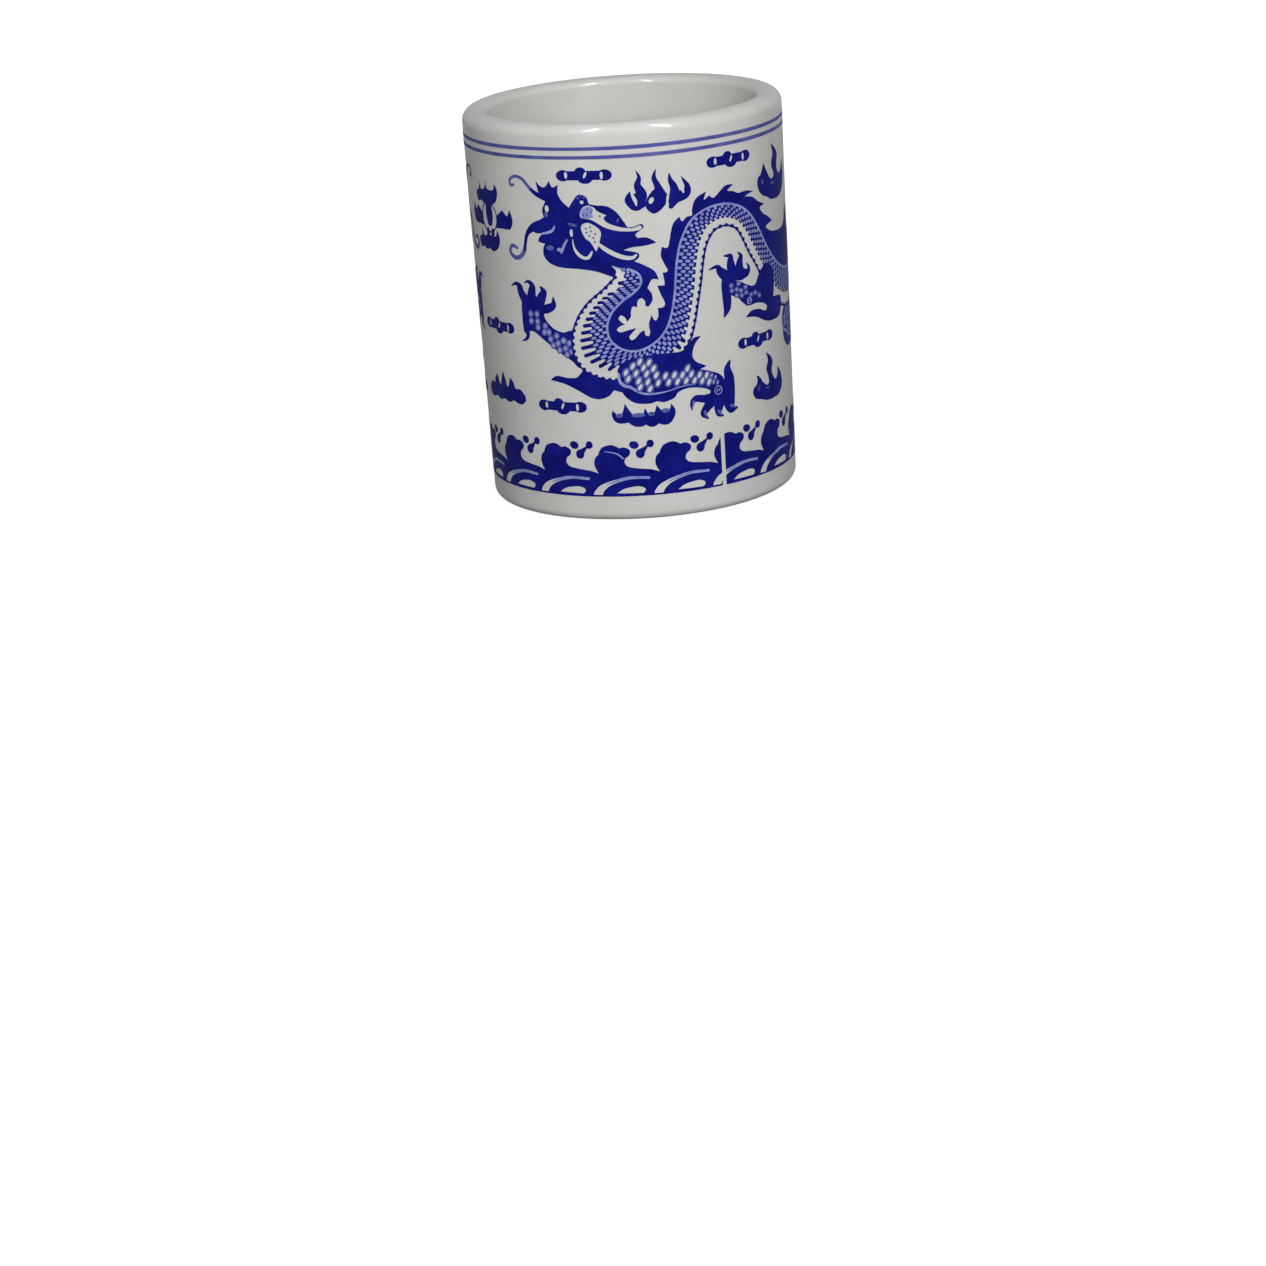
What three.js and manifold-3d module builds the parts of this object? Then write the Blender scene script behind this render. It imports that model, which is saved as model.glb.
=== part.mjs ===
import * as THREE from "three";
import { mergeVertices } from "three/addons/utils/BufferGeometryUtils.js";
import Module from "manifold-3d";

// A porcelain brush pot for pencils: a tapered cylinder luted to its base, with cobalt transfers of two
// dragons, clouds, flames and waves on the wall. Millimetres, +Z up, the origin at the centre of the foot.

// Porcelain sizes
const height = 105;
const rimRadius = 42.4; // outside, where the straight wall meets the lip
const footInset = 1.4; // how much narrower the straight wall is where it would meet the table
const wallThickness = 6.8;
const lipRise = 3.4; // height of the lip's round, on the outside
const lipFall = 2.2; // the same on the inside
const lipShare = 0.5; // share of the wall's thickness that lies outside the crest of the lip
const footRound = 2.3;
const footChamfer = 0.5;
const footRecess = 2.5; // how far the underside of the base stands above the table
const baseThickness = 5.5;
const coveRadius = 3.2;
const seatDepth = 2.6; // thickness of the wall's ledge over the rim of the base
const seatWidth = 4.2; // how far the base reaches under the ledge
const slipJoint = 0.2; // the thickness of slip that lutes the base to the wall

// Transfer sizes
const transferGap = 0.05; // glaze between the wall and the print
const inkThickness = 0.06;
const rimLineWidth = 0.95;
const upperLineDrop = 6.2; // from the top of the lip to the middle of the line
const lowerLineDrop = 8.45;
const seamGap = 1.2; // bare wall where the two ends of the wave border meet

// The drawing. Its points are [along, up] on the transfer sheet, which has two register marks. One is laid
// on the table line under the pearl, and the other on the crest of the lip, one turn further round.
const registerMarks = [[-43.5, 0], [220.5, 106.5]];
const [pearlAxis] = registerMarks[0]; // the pattern is the same to the left and to the right of this line
const sheetWidth = registerMarks[1][0] - registerMarks[0][0];
const sheetHeight = registerMarks[1][1] - registerMarks[0][1];
const tailAxis = pearlAxis + sheetWidth / 2;
const crestCount = 16;
const crestPitch = sheetWidth / crestCount;
const firstCrest = 8;
const seamAt = 22.4; // the middle of the seam of the wave border

// Fineness of the facets
const turnSteps = 48;
const facetPitch = sheetWidth / turnSteps; // one facet of the wall on the sheet
const snap = 0.01; // a point this near to a facet's edge, or to another one there, lies on it
const speck = 0.002; // a piece of ink with less area than this is left out
const easing = 0.15; // a point that bends an outline by less than this is left out
const strokeStep = 1.9;
const longSpan = 2.6; // a span of a smooth outline that is longer than this gets a point half-way

const wasm = await Module();
wasm.setup();

const porcelain = { color: 0xe4e4e0, roughness: 0.16, metalness: 0 };
const cobalt = { color: 0x1d2472, roughness: 0.18, metalness: 0 };

const footRadius = rimRadius - footInset;
const wallTaper = footInset / (height - lipRise);
const wallRadius = (z) => footRadius + wallTaper * z;
const floorTop = footRecess + baseThickness;
const seatTop = floorTop - seatDepth;
const boreRadius = (z) => wallRadius(z) - wallThickness;
const ledgeRadius = boreRadius(floorTop + coveRadius) - coveRadius;
const rebateRadius = ledgeRadius + seatWidth;

function mesh(name, geometry, look) {
  const made = new THREE.Mesh(geometry, new THREE.MeshStandardMaterial(look));
  made.name = name;
  return made;
}

function bare(geometry) {
  const loose = geometry.index ? geometry.toNonIndexed() : geometry;
  const positions = new THREE.BufferGeometry();
  positions.setAttribute("position", loose.getAttribute("position"));
  return mergeVertices(positions, 1e-4);
}

function solidOf(geometry) {
  const closed = bare(geometry);
  return new wasm.Manifold(
    new wasm.Mesh({
      numProp: 3,
      vertProperties: closed.attributes.position.array,
      triVerts: new Uint32Array(closed.index.array),
    }),
  );
}

// Points on a quarter of an ellipse, from one angle to another, in degrees.
function quarter(centre, radii, from, to, steps) {
  return Array.from({ length: steps + 1 }, (_, i) => {
    const angle = THREE.MathUtils.degToRad(from + ((to - from) * i) / steps);
    const [x, y] = [radii[0] * Math.cos(angle), radii[1] * Math.sin(angle)];
    return new THREE.Vector2(centre[0] + x, centre[1] + y);
  });
}

// A body of revolution about Z. The profile holds (radius, height) and runs anticlockwise.
function turned(profile) {
  return new THREE.LatheGeometry(profile, turnSteps).rotateX(Math.PI / 2);
}

function wallGeometry() {
  const crestRadius = rimRadius - wallThickness * lipShare;
  const mouth = height - lipFall;
  const coveTop = floorTop + coveRadius;
  const outerFoot = wallRadius(footRound);
  const profile = [
    new THREE.Vector2(rebateRadius + footChamfer, 0),
    ...quarter([outerFoot - footRound, footRound], [footRound, footRound], -90, 0, 3),
    ...quarter([crestRadius, height - lipRise], [rimRadius - crestRadius, lipRise], 0, 90, 5),
    ...quarter([crestRadius, mouth], [crestRadius - boreRadius(mouth), lipFall], 90, 180, 4).slice(1),
    ...quarter([ledgeRadius, coveTop], [coveRadius, coveRadius], 0, -90, 3),
    new THREE.Vector2(ledgeRadius, seatTop),
    new THREE.Vector2(rebateRadius, seatTop),
    new THREE.Vector2(rebateRadius, footChamfer),
  ];
  return turned([...profile, profile[0]]);
}

function baseGeometry() {
  const padRadius = ledgeRadius - slipJoint;
  const discRadius = rebateRadius - slipJoint;
  return turned([
    new THREE.Vector2(0, footRecess),
    new THREE.Vector2(discRadius - footChamfer, footRecess),
    new THREE.Vector2(discRadius, footRecess + footChamfer),
    new THREE.Vector2(discRadius, seatTop - slipJoint),
    new THREE.Vector2(padRadius, seatTop - slipJoint),
    new THREE.Vector2(padRadius, floorTop),
    new THREE.Vector2(0, floorTop),
  ]);
}

function rimLineGeometry(drop) {
  const low = height - drop - rimLineWidth / 2;
  const high = low + rimLineWidth;
  const inner = transferGap;
  const outer = transferGap + inkThickness;
  const profile = [
    new THREE.Vector2(wallRadius(low) + inner, low),
    new THREE.Vector2(wallRadius(low) + outer, low),
    new THREE.Vector2(wallRadius(high) + outer, high),
    new THREE.Vector2(wallRadius(high) + inner, high),
  ];
  return turned([...profile, profile[0]]);
}

const mirrored = (points) => points.map(([s, z, ...more]) => [2 * pearlAxis - s, z, ...more]);
const shifted = (points, ds, dz) => points.map(([s, z, ...more]) => [s + ds, z + dz, ...more]);

// A ribbon of ink through [along, up, half width], with round ends.
function stroke(points) {
  const curve = new THREE.CatmullRomCurve3(points.map((p) => new THREE.Vector3(...p)));
  const steps = Math.max(2, Math.ceil(curve.getLength() / strokeStep));
  const left = [];
  const right = [];
  for (let i = 0; i <= steps; i++) {
    const at = curve.getPointAt(i / steps);
    const along = curve.getTangentAt(i / steps).setZ(0).normalize();
    left.push(new THREE.Vector2(at.x - along.y * at.z, at.y + along.x * at.z));
    right.unshift(new THREE.Vector2(at.x + along.y * at.z, at.y - along.x * at.z));
  }
  const start = roundEnd(right.at(-1), left[0]);
  const end = roundEnd(left.at(-1), right[0]);
  return new THREE.Shape([...start, ...left, ...end, ...right]);
}

// Two points on the half circle that bulges to the left of the way from one point to the other.
function roundEnd(from, to) {
  const middle = from.clone().add(to).multiplyScalar(0.5);
  const spoke = from.clone().sub(middle);
  return [-60, -120].map((turn) =>
    spoke.clone().rotateAround(new THREE.Vector2(), THREE.MathUtils.degToRad(turn)).add(middle),
  );
}

// A closed outline through [along, up]. It is smooth, but a point with a third value is a corner.
function outline(points) {
  const first = Math.max(0, points.findIndex((p) => p.length > 2));
  const ring = [...points.slice(first), ...points.slice(0, first)];
  const at = (i) => ring.at(i % ring.length);
  const smooth = [];
  ring.forEach((point, i) => {
    smooth.push(new THREE.Vector2(point[0], point[1]));
    const next = at(i + 1);
    if (Math.hypot(next[0] - point[0], next[1] - point[1]) < longSpan) return;
    const before = point.length > 2 ? point : at(i - 1);
    const after = next.length > 2 ? next : at(i + 2);
    const run = [before, point, next, after].map(([s, z]) => new THREE.Vector2(s, z));
    smooth.push(new THREE.SplineCurve(run).getPoint(0.5));
  });
  return new THREE.Shape(smooth);
}

function oval([s, z, radiusAlong, radiusUp = radiusAlong]) {
  const ring = new THREE.EllipseCurve(s, z, radiusAlong, radiusUp);
  return new THREE.Shape(ring.getPoints(Math.max(8, Math.round(3 * radiusAlong))).slice(0, -1));
}

function flat(shape) {
  return solidOf(new THREE.ExtrudeGeometry(shape, { depth: 1, bevelEnabled: false, curveSegments: 3 }));
}

// The loops round the top face of a flat print, anticlockwise outside and clockwise round a hole
function topLoops(solid) {
  const { vertProperties, triVerts } = solid.getMesh();
  const edges = new Map();
  for (let i = 0; i < triVerts.length; i += 3) {
    const corners = [...triVerts.slice(i, i + 3)];
    if (corners.some((v) => vertProperties[3 * v + 2] < 0.5)) continue;
    corners.forEach((v, k) => edges.set(v + " " + corners[(k + 1) % 3], [v, corners[(k + 1) % 3]]));
  }
  const ways = new Map();
  for (const [from, to] of edges.values()) {
    if (!edges.has(to + " " + from)) ways.set(from, [...(ways.get(from) ?? []), to]);
  }
  const loops = [];
  for (const start of ways.keys()) {
    while (ways.get(start).length) {
      const loop = [];
      for (let at = start; ways.get(at).length; at = ways.get(at).pop()) {
        loop.push(new THREE.Vector2(vertProperties[3 * at], vertProperties[3 * at + 1]));
      }
      loops.push(loop);
    }
  }
  return loops;
}

const facetLine = (p) => Math.round(p.x / facetPitch);
const onFacetLine = (p) => Math.abs(p.x - facetLine(p) * facetPitch) < snap;
const alongFacetLine = (p, q) => onFacetLine(p) && onFacetLine(q) && facetLine(p) === facetLine(q);

// Drops the points that hardly bend a loop. One at a facet's edge stays where the outline crosses the edge.
function eased(loop) {
  const kept = [...loop];
  for (let i = kept.length - 1; i >= 0 && kept.length > 3; i--) {
    const [before, after] = [kept.at(i - 1), kept[(i + 1) % kept.length]];
    const bend = Math.abs(before.clone().sub(kept[i]).cross(after.clone().sub(kept[i])));
    const spare = onFacetLine(kept[i])
      ? alongFacetLine(before, kept[i]) && alongFacetLine(kept[i], after)
      : bend < easing * before.distanceTo(after) && !alongFacetLine(before, after);
    if (spare) kept.splice(i, 1);
  }
  return kept;
}

// Drops points that repeat the one before, and the tips of spikes that go out and come back the same way.
function trimmed(loop) {
  const after = (i) => loop[(i + 1) % loop.length];
  const spare = loop.findIndex((p, i) => p.equals(after(i)) || loop.at(i - 1).equals(after(i)));
  return spare < 0 || loop.length < 3 ? loop : trimmed(loop.toSpliced(spare, 1));
}

// Gives the loops on the two sides of a facet's edge the same points on it.
function stitched(pieces) {
  const marks = new Map();
  for (const p of pieces.flat(2).filter(onFacetLine)) {
    const line = facetLine(p);
    if (!marks.has(line)) marks.set(line, []);
    const near = marks.get(line).find((y) => Math.abs(y - p.y) < snap);
    if (near === undefined) marks.get(line).push(p.y);
    p.set(line * facetPitch, near ?? p.y);
  }
  const between = (p, q) =>
    marks
      .get(facetLine(p))
      .filter((y) => (y - p.y) * (y - q.y) < 0)
      .sort((a, b) => (a - b) * Math.sign(q.y - p.y))
      .map((y) => new THREE.Vector2(p.x, y));
  const filled = (loop) =>
    loop.flatMap((p, i) => {
      const q = loop[(i + 1) % loop.length];
      return alongFacetLine(p, q) ? [p, ...between(p, q)] : [p];
    });
  const whole = (loop) => loop.length > 2 && Math.abs(THREE.ShapeUtils.area(loop)) > speck;
  return pieces.map((loops) => loops.map(trimmed).filter(whole).map(filled));
}

const edgeKey = (p, q) => [p.x, p.y, q.x, q.y].join(" ");
const edgesOf = (loop) => loop.map((p, i) => [p, loop[(i + 1) % loop.length]]);

function corner(p, level) {
  const facet = onFacetLine(p) ? facetLine(p) : Math.floor(p.x / facetPitch);
  const share = onFacetLine(p) ? 0 : p.x / facetPitch - facet;
  const [from, to] = [facet, facet + 1].map((k) => (k * 2 * Math.PI) / turnSteps);
  const z = (p.y / sheetHeight) * height;
  const radius = wallRadius(z) + transferGap + inkThickness * level;
  const x = THREE.MathUtils.lerp(Math.sin(from), Math.sin(to), share);
  const y = THREE.MathUtils.lerp(-Math.cos(from), -Math.cos(to), share);
  return new THREE.Vector3(radius * x, radius * y, z);
}

// Bends a flat print round the wall, one facet at a time: the sheet's width makes one turn.
function wrapped(solid) {
  const { min, max } = solid.boundingBox();
  const pieces = [];
  for (let k = Math.floor(min[0] / facetPitch); k * facetPitch < max[0]; k++) {
    const piece = solid.intersect(flat(band(k * facetPitch, (k + 1) * facetPitch)));
    pieces.push(topLoops(piece).map(eased));
  }
  const cut = stitched(pieces);
  const edges = new Set(cut.flat().flatMap(edgesOf).map(([p, q]) => edgeKey(p, q)));
  const faces = cut.flatMap((loops) => {
    const path = new THREE.ShapePath();
    path.subPaths = loops.map((loop) => new THREE.Path(loop));
    return path.toShapes().flatMap((shape) => inkFaces(shape.extractPoints(1), edges));
  });
  return bare(new THREE.BufferGeometry().setFromPoints(faces.flat()));
}

// Both faces of a piece of ink and its sides, save where the next piece runs back along its edge
function inkFaces({ shape, holes }, edges) {
  const points = [shape, ...holes].flat();
  const faces = THREE.ShapeUtils.triangulateShape(shape, holes).flatMap(([a, b, c]) => [
    [corner(points[a], 1), corner(points[b], 1), corner(points[c], 1)],
    [corner(points[a], 0), corner(points[c], 0), corner(points[b], 0)],
  ]);
  for (const [p, q] of [shape, ...holes].flatMap(edgesOf)) {
    if (edges.has(edgeKey(q, p))) continue;
    faces.push([corner(p, 0), corner(q, 0), corner(q, 1)], [corner(p, 0), corner(q, 1), corner(p, 1)]);
  }
  return faces;
}

// The whole height of the sheet between two distances along it
function band(from, to) {
  const shape = new THREE.Shape();
  shape.moveTo(from, 0);
  shape.lineTo(to, 0);
  shape.lineTo(to, sheetHeight);
  shape.lineTo(from, sheetHeight);
  return shape;
}

// One print of overlapping outlines, strokes and ovals, joined into a single sheet of ink.
function print(name, { outlines = [], strokes = [], ovals = [] }) {
  const shapes = [...outlines.map((p) => outline(p)), ...strokes.map(stroke), ...ovals.map(oval)];
  const joined = shapes.map(flat).reduce((all, next) => all.add(next));
  return mesh(name, wrapped(joined), cobalt);
}

function mirroredMotif({ outlines = [], strokes = [], ovals = [] }) {
  return {
    outlines: outlines.map(mirrored),
    strokes: strokes.map(mirrored),
    ovals: mirrored(ovals),
  };
}

function shiftedMotif({ outlines = [], strokes = [], ovals = [] }, ds, dz) {
  return {
    outlines: outlines.map((points) => shifted(points, ds, dz)),
    strokes: strokes.map((points) => shifted(points, ds, dz)),
    ovals: shifted(ovals, ds, dz),
  };
}

// The cloud scroll, about its own centre
const cloud = {
  strokes: [[[-5.2, 0, 1.2], [0, 0, 1.25], [5.2, 0, 1.2]]],
  ovals: [[-5.6, 0, 1.9, 1.5], [5.4, 0, 1.9, 1.5], [-0.9, 0.9, 1.5, 1.3], [0.3, -1.0, 1.9, 1.2]],
};

// The upright flame of three tongues, about the middle of its foot
const flame = {
  outlines: [
    [[-7.3, 6.2, 1], [-6.2, 4.6], [-4.6, 3.6], [-3.3, 2.2], [-5.4, 1.1], [-7.7, 2.0], [-8.7, 4.0]],
    [[-3.4, 1.6], [-1.2, -0.2], [1.7, 1.9], [2.2, 4.6], [-0.4, 6.4], [-2.8, 4.2]],
  ],
  strokes: [
    [[-5.8, 3.2, 2.3], [-4.4, 5.0, 1.5], [-5.2, 7.6, 0.9], [-4.7, 9.6, 0.5], [-5.4, 11.4, 0.1]],
    [[0.8, 4.0, 1.6], [-0.1, 7.0, 0.9], [-0.9, 9.2, 0.6], [-0.4, 11.2, 0.15]],
    [[3.2, 1.3, 0.7], [4.2, 3.4, 1.5], [4.2, 6.0, 1.1], [3.3, 8.2, 0.6], [3.1, 9.8, 0.2]],
    [[4.4, 3.4, 1.5], [7.2, 4.2, 1.3], [7.8, 6.0, 0.8], [6.3, 8.7, 0.1]],
    [[-4, 2.6, 0.5], [4, 2.8, 0.5]],
  ],
};

// The low flame with a scalloped foot, about its own centre
const lowFlame = {
  outlines: [
    [[-7.9, 1.6, 1], [-8.2, 0.1], [-7.6, -1.3], [-6.1, -2.1], [-3.8, -1.9, 1], [-2.6, -2.9], [-0.6, -3.2],
      [0.7, -2.7, 1], [1.6, -3.3], [2.9, -3.4], [4.1, -2.7, 1], [5.6, -3.2], [7.2, -2.8], [8.5, -1.1],
      [8.7, 0.8], [7.6, 2.5, 1], [7.3, 1.1], [6.2, 0.4], [5.0, 0.9], [3.8, 2.5, 1], [3.2, 0.6],
      [2.2, -0.2], [1.4, 0.4], [0.6, 1.9, 1], [0.1, 0.3], [-1.2, -0.3], [-2.6, 0.3], [-3.6, 1.6],
      [-4.6, 3.4, 1], [-5.2, 1.2], [-6.3, -0.1]],
  ],
};

// Half of the low flame on the axis under the pearl, from its tallest tongue to the middle of its foot
const axisFlameHalf = [
  [0, 5.0, 1], [1.0, 2.8], [1.7, 0.9], [2.6, 1.6], [3.4, 3.7, 1], [4.8, 2.6], [5.7, 1.0], [7.6, 1.0],
  [9.3, -0.4], [9.6, -1.9], [8.0, -3.1], [6.2, -3.0], [4.4, -2.4, 1], [2.4, -3.2], [0, -2.6, 1],
];

const axisFlame = {
  outlines: [
    [...axisFlameHalf, ...axisFlameHalf.slice(1, -1).reverse().map(([s, z, ...more]) => [-s, z, ...more])],
  ],
};

// The flame behind the haunch, with one tall tongue between two short ones, about the middle of its foot
const haunchFlame = {
  outlines: [
    [[-7.5, 3.2], [-6.4, 1.6], [-4.2, 1.0], [-2.2, 0.3], [0.2, 0], [2.6, 0.1], [4.9, 0.4], [6.8, 1.8],
      [7.4, 3.6], [6.6, 6.2], [4.8, 8.1, 1], [4.6, 6.2], [3.4, 4.9], [2.1, 6.0], [1.3, 7.9],
      [2.0, 10.0], [1.0, 11.8], [-1.2, 13.2, 1], [-0.4, 10.9], [-1.3, 8.7], [-0.5, 6.5], [-0.2, 4.9],
      [-1.3, 4.3], [-3.0, 5.4], [-4.4, 7.1], [-5.8, 7.9, 1], [-5.5, 6.4], [-6.0, 5.2], [-7.1, 4.7]],
  ],
};

// The like flame over the dragon's back, broader and taller
const backFlame = {
  outlines: [
    [[-8.1, 5.4], [-7.3, 3.3], [-5.6, 2.0], [-3.4, 1.2], [-1.4, 0.2], [1.6, -0.1], [4.8, 0.1],
      [7.6, 1.3], [9.2, 3.4], [9.6, 6.0], [9.0, 9.2, 1], [7.4, 6.9], [5.4, 6.0], [3.6, 7.3], [3.5, 9.3],
      [4.2, 11.2], [2.6, 13.2], [0, 14.9, 1], [0.8, 12.0], [-0.2, 9.9], [0.1, 8.2], [1.1, 6.6],
      [0.4, 5.6], [-1.4, 5.9], [-3.0, 7.8], [-4.8, 10.5, 1], [-5.6, 8.9], [-6.4, 7.7], [-7.7, 7.1]],
  ],
};

const pearlFlame = [
  [-6.0, 0.4], [-5.2, -1.9], [-3.0, -1.6, 1], [-1.4, -2.2], [0.2, -1.7, 1], [2.0, -2.4], [4.6, -1.2],
  [5.6, 1.4], [4.6, 3.6, 1], [4.0, 2.0], [2.6, 1.6], [0.6, 2.0], [0.2, 4.0, 1], [-0.6, 2.0], [-2.6, 1.4],
  [-3.8, 3.4, 1], [-4.0, 1.4],
];

const pearlFlamePlaces = [[-0.7, 5.8], [-1.2, -6.7]];

const pearlSideFlame = [
  [1.8, -2.2], [6.2, -2.4], [9.2, -2.2], [10.3, 0.2], [9.4, 2.9, 1], [8.2, 1.2], [6.4, 2.6, 1], [3.2, 0.2],
];

// The pearl in its ring, with a flame over and under it and one at each side
const pearl = {
  outlines: [
    ...pearlFlamePlaces.map(([ds, dz]) => shifted(pearlFlame, ds, dz)),
    pearlSideFlame,
    pearlSideFlame.map(([s, z, ...more]) => [-s, z, ...more]),
  ],
  strokes: [[[-1.1, -3.2, 0.5], [-1.1, -6.2, 0.7]], [[1.4, -3.2, 0.5], [1.2, -6.2, 0.7]]],
  ovals: [[0, 0, 4.0, 4.2]],
};

// The dragon, head towards the pearl, each part a closed outline or a stroke on the sheet
const head = [
  [-4.6, 66.2, 1], [-6.8, 67.1], [-9.4, 68.0], [-13.5, 68.6], [-18, 68.9], [-21.4, 69.8], [-23.4, 71.8],
  [-23.4, 74.2], [-22.8, 75.1, 1], [-24.9, 75.6, 1], [-24.4, 76.9], [-23.2, 77.9, 1], [-25.6, 77.9],
  [-26.6, 79.2], [-24.6, 81.0], [-22.6, 82.2, 1], [-22.9, 84.2], [-21.9, 86.4], [-23.2, 87.6],
  [-23.8, 89.4], [-24.3, 91.7, 1], [-22.6, 90.2], [-21.4, 90.4], [-20.3, 91.8, 1], [-19.4, 90.2],
  [-17.8, 90.9, 1], [-18.0, 88.6], [-17.0, 86.6], [-15.2, 84.9, 1], [-14.0, 86.6], [-12.4, 88.3],
  [-10.4, 87.7], [-9.8, 85.8, 1], [-7.8, 85.4], [-5.2, 85.1], [-3.0, 83.6], [-1.3, 81.2], [-0.2, 79.2, 1],
  [1.6, 79.4], [3.3, 79.9], [3.9, 79.0], [2.6, 78.0], [1.7, 77.2], [2.2, 76.3, 1], [4.6, 76.2],
  [7.0, 74.7, 1], [4.0, 74.1], [0.6, 73.9], [-1.6, 73.3, 1], [0.6, 72.8], [2.2, 72.2], [2.2, 71.1],
  [1.0, 70.2, 1], [3.4, 69.0], [6.0, 67.2], [7.0, 64.8, 1], [5.2, 65.0], [3.8, 62.6, 1], [1.4, 61.6],
  [-1.5, 65],
];

const loopFin = [
  [1.0, 63.2], [3.6, 63.2, 1], [4.9, 61.3], [5.0, 59.4], [3.9, 57.9, 1], [3.1, 58.2], [3.1, 59.4],
  [2.1, 60.3], [1.1, 59.4], [1.0, 57.9, 1], [-0.2, 58.2], [-0.7, 57.0], [-0.9, 55.4], [-1.9, 54.2, 1],
  [-2.4, 55.4], [-3.4, 56.0], [-4.1, 55.1], [-3.3, 54.1], [-2.5, 53.5, 1], [-3.8, 53.1], [-4.7, 52.2],
  [-3.8, 51.5], [-1.6, 52.0], [0.4, 52.4, 1], [-0.7, 51.2], [-1.6, 50.1], [-0.9, 49.2], [0.3, 50.0],
  [1.4, 51.2], [2.5, 51.7, 1], [2.6, 50.4], [3.4, 50.0], [3.9, 51.0], [3.7, 53.2], [4.6, 55.7, 1],
  [4.9, 54.6], [5.6, 54.0], [6.3, 55.2], [6.3, 57.3, 1], [7.8, 57.4], [8.2, 58.6], [7.3, 60.8],
  [6.5, 63.2, 1], [11.6, 63.0, 1], [10.6, 57], [8.4, 51.6], [5.4, 47.6], [1, 45.6], [-4, 46.6],
  [-7.4, 50], [-7.6, 54], [-5.4, 58.0], [-2.2, 61.2],
];

const backFin = [
  [6.5, 63.2, 1], [8.3, 63.0], [8.4, 64.6], [8.1, 66.5, 1], [9.5, 66.9], [8.7, 68.8], [7.9, 71.0],
  [8.3, 73.4, 1], [9.8, 73.0], [10.4, 74.8], [11.0, 77.4], [11.8, 79.4], [13.4, 80.8, 1], [14.1, 79.5],
  [15.4, 80.5], [16.9, 80.7], [17.0, 82.4], [18.2, 84.9], [21.3, 86.4, 1], [20.5, 84.3], [22.1, 85.2, 1],
  [23.4, 84.4], [25.2, 85.6], [27.4, 87.0], [30.1, 86.9, 1], [27.9, 85.6], [29.8, 85.1], [31.6, 84.3],
  [34.4, 84.4], [37.6, 83.8, 1], [34.2, 83.0], [37.0, 82.3], [39.4, 80.7], [42.4, 79.4, 1], [40.2, 78.8],
  [41.6, 77.0], [43.8, 75.9], [46.5, 74.2, 1], [42.8, 73.3], [44.8, 71.8], [48.0, 71.1], [52.4, 70.9],
  [55.6, 71.7], [57.4, 74.2], [58.6, 76.4, 1], [59.8, 72.6], [61.6, 69.4], [65.6, 68.4, 1], [65.0, 63.8],
  [68.6, 67.4], [70.6, 73.0, 1], [71.4, 70.2], [73.6, 74.6], [77.4, 81.2, 1], [77.8, 78.0],
  [78, 76, 1], [72, 67.5], [66, 61], [57, 58.6], [48, 61.6], [41, 68], [36, 76], [30, 80.4], [23, 80.6],
  [17.2, 77.4], [14.4, 72], [12.8, 66], [11.6, 59.5, 1],
];

// The two edges of the body, as [ridge along, ridge up, belly along, belly up] from the neck to the tail
const bodyStations = [
  [-2.6, 69.9, -5.3, 69.5], [1.2, 69.6, -4.9, 66.4], [2.8, 66.2, -6.4, 64.2], [1.4, 62.8, -9.4, 61.8],
  [-2.2, 60.0, -12.4, 59.2], [-5.3, 57.0, -15.0, 55.8], [-6.8, 53.4, -16.8, 51.8],
  [-6.4, 50.0, -17.3, 47.6], [-4.6, 47.9, -16.4, 43.8], [-2.4, 46.8, -13.6, 40.6], [0, 46.5, -7.0, 38.4],
  [2.2, 46.9, 1.5, 39.6], [4.6, 48.1, 7.6, 42.5], [6.8, 50.0, 11.8, 44.2], [8.6, 52.7, 14.6, 47.6],
  [9.8, 56.2, 16.2, 52.0], [10.7, 60.4, 17.4, 57.2], [11.2, 64.6, 18.6, 62.6], [11.8, 69.2, 19.6, 68.2],
  [13.2, 74.4, 20.8, 72.4], [16.2, 79.4, 22.8, 75.3], [20.8, 82.0, 25.2, 76.3], [26.4, 82.5, 27.8, 76.2],
  [31.6, 81.1, 30.4, 74.8], [35.8, 78.2, 32.4, 71.8], [39.2, 73.8, 34.4, 68.0], [42.8, 68.3, 37.4, 63.6],
  [47.0, 63.9, 40.6, 58.2], [52.0, 61.0, 46.2, 52.4], [57.6, 59.8, 54.0, 49.2], [63.0, 60.6, 63.0, 49.6],
  [67.4, 63.6, 70.4, 54.0], [70.6, 68.0, 75.0, 61.0], [73.8, 73.0, 78.0, 68.0], [78.0, 77.6, 80.6, 73.6],
  [83.0, 80.6, 83.4, 79.2],
];

const body = [
  ...bodyStations.map(([s, z]) => [s, z]),
  ...bodyStations.map(([, , s, z]) => [s, z]).reverse(),
];

const whiskers = [
  [[-22.0, 87.4, 0.8], [-24.4, 88.3, 0.6], [-26.4, 89.8, 0.5], [-28.6, 92.0, 0.5], [-31.0, 92.6, 0.5],
    [-32.9, 91.6, 0.5], [-32.7, 90.1, 0.4], [-31.6, 90.4, 0.3]],
  [[-23.0, 80.4, 1.3], [-26.0, 79.4, 1.1], [-28.2, 77.6, 0.6], [-29.1, 75.2, 0.5], [-29.7, 73.0, 0.6],
    [-31.2, 71.2, 0.6], [-33.4, 70.8, 0.6], [-35.0, 72.3, 0.5], [-34.0, 73.9, 0.5], [-32.2, 73.4, 0.4]],
];

const tailTuft = [
  [[79.5, 76.4, 2.2], [83.0, 80.0, 1.4], [85.4, 83.6, 0.9], [85.2, 88.0, 0.15]],
  [[80.5, 76.2, 1.2], [83.6, 77.2, 0.9], [86.4, 75.6, 0.2]],
];

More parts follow.
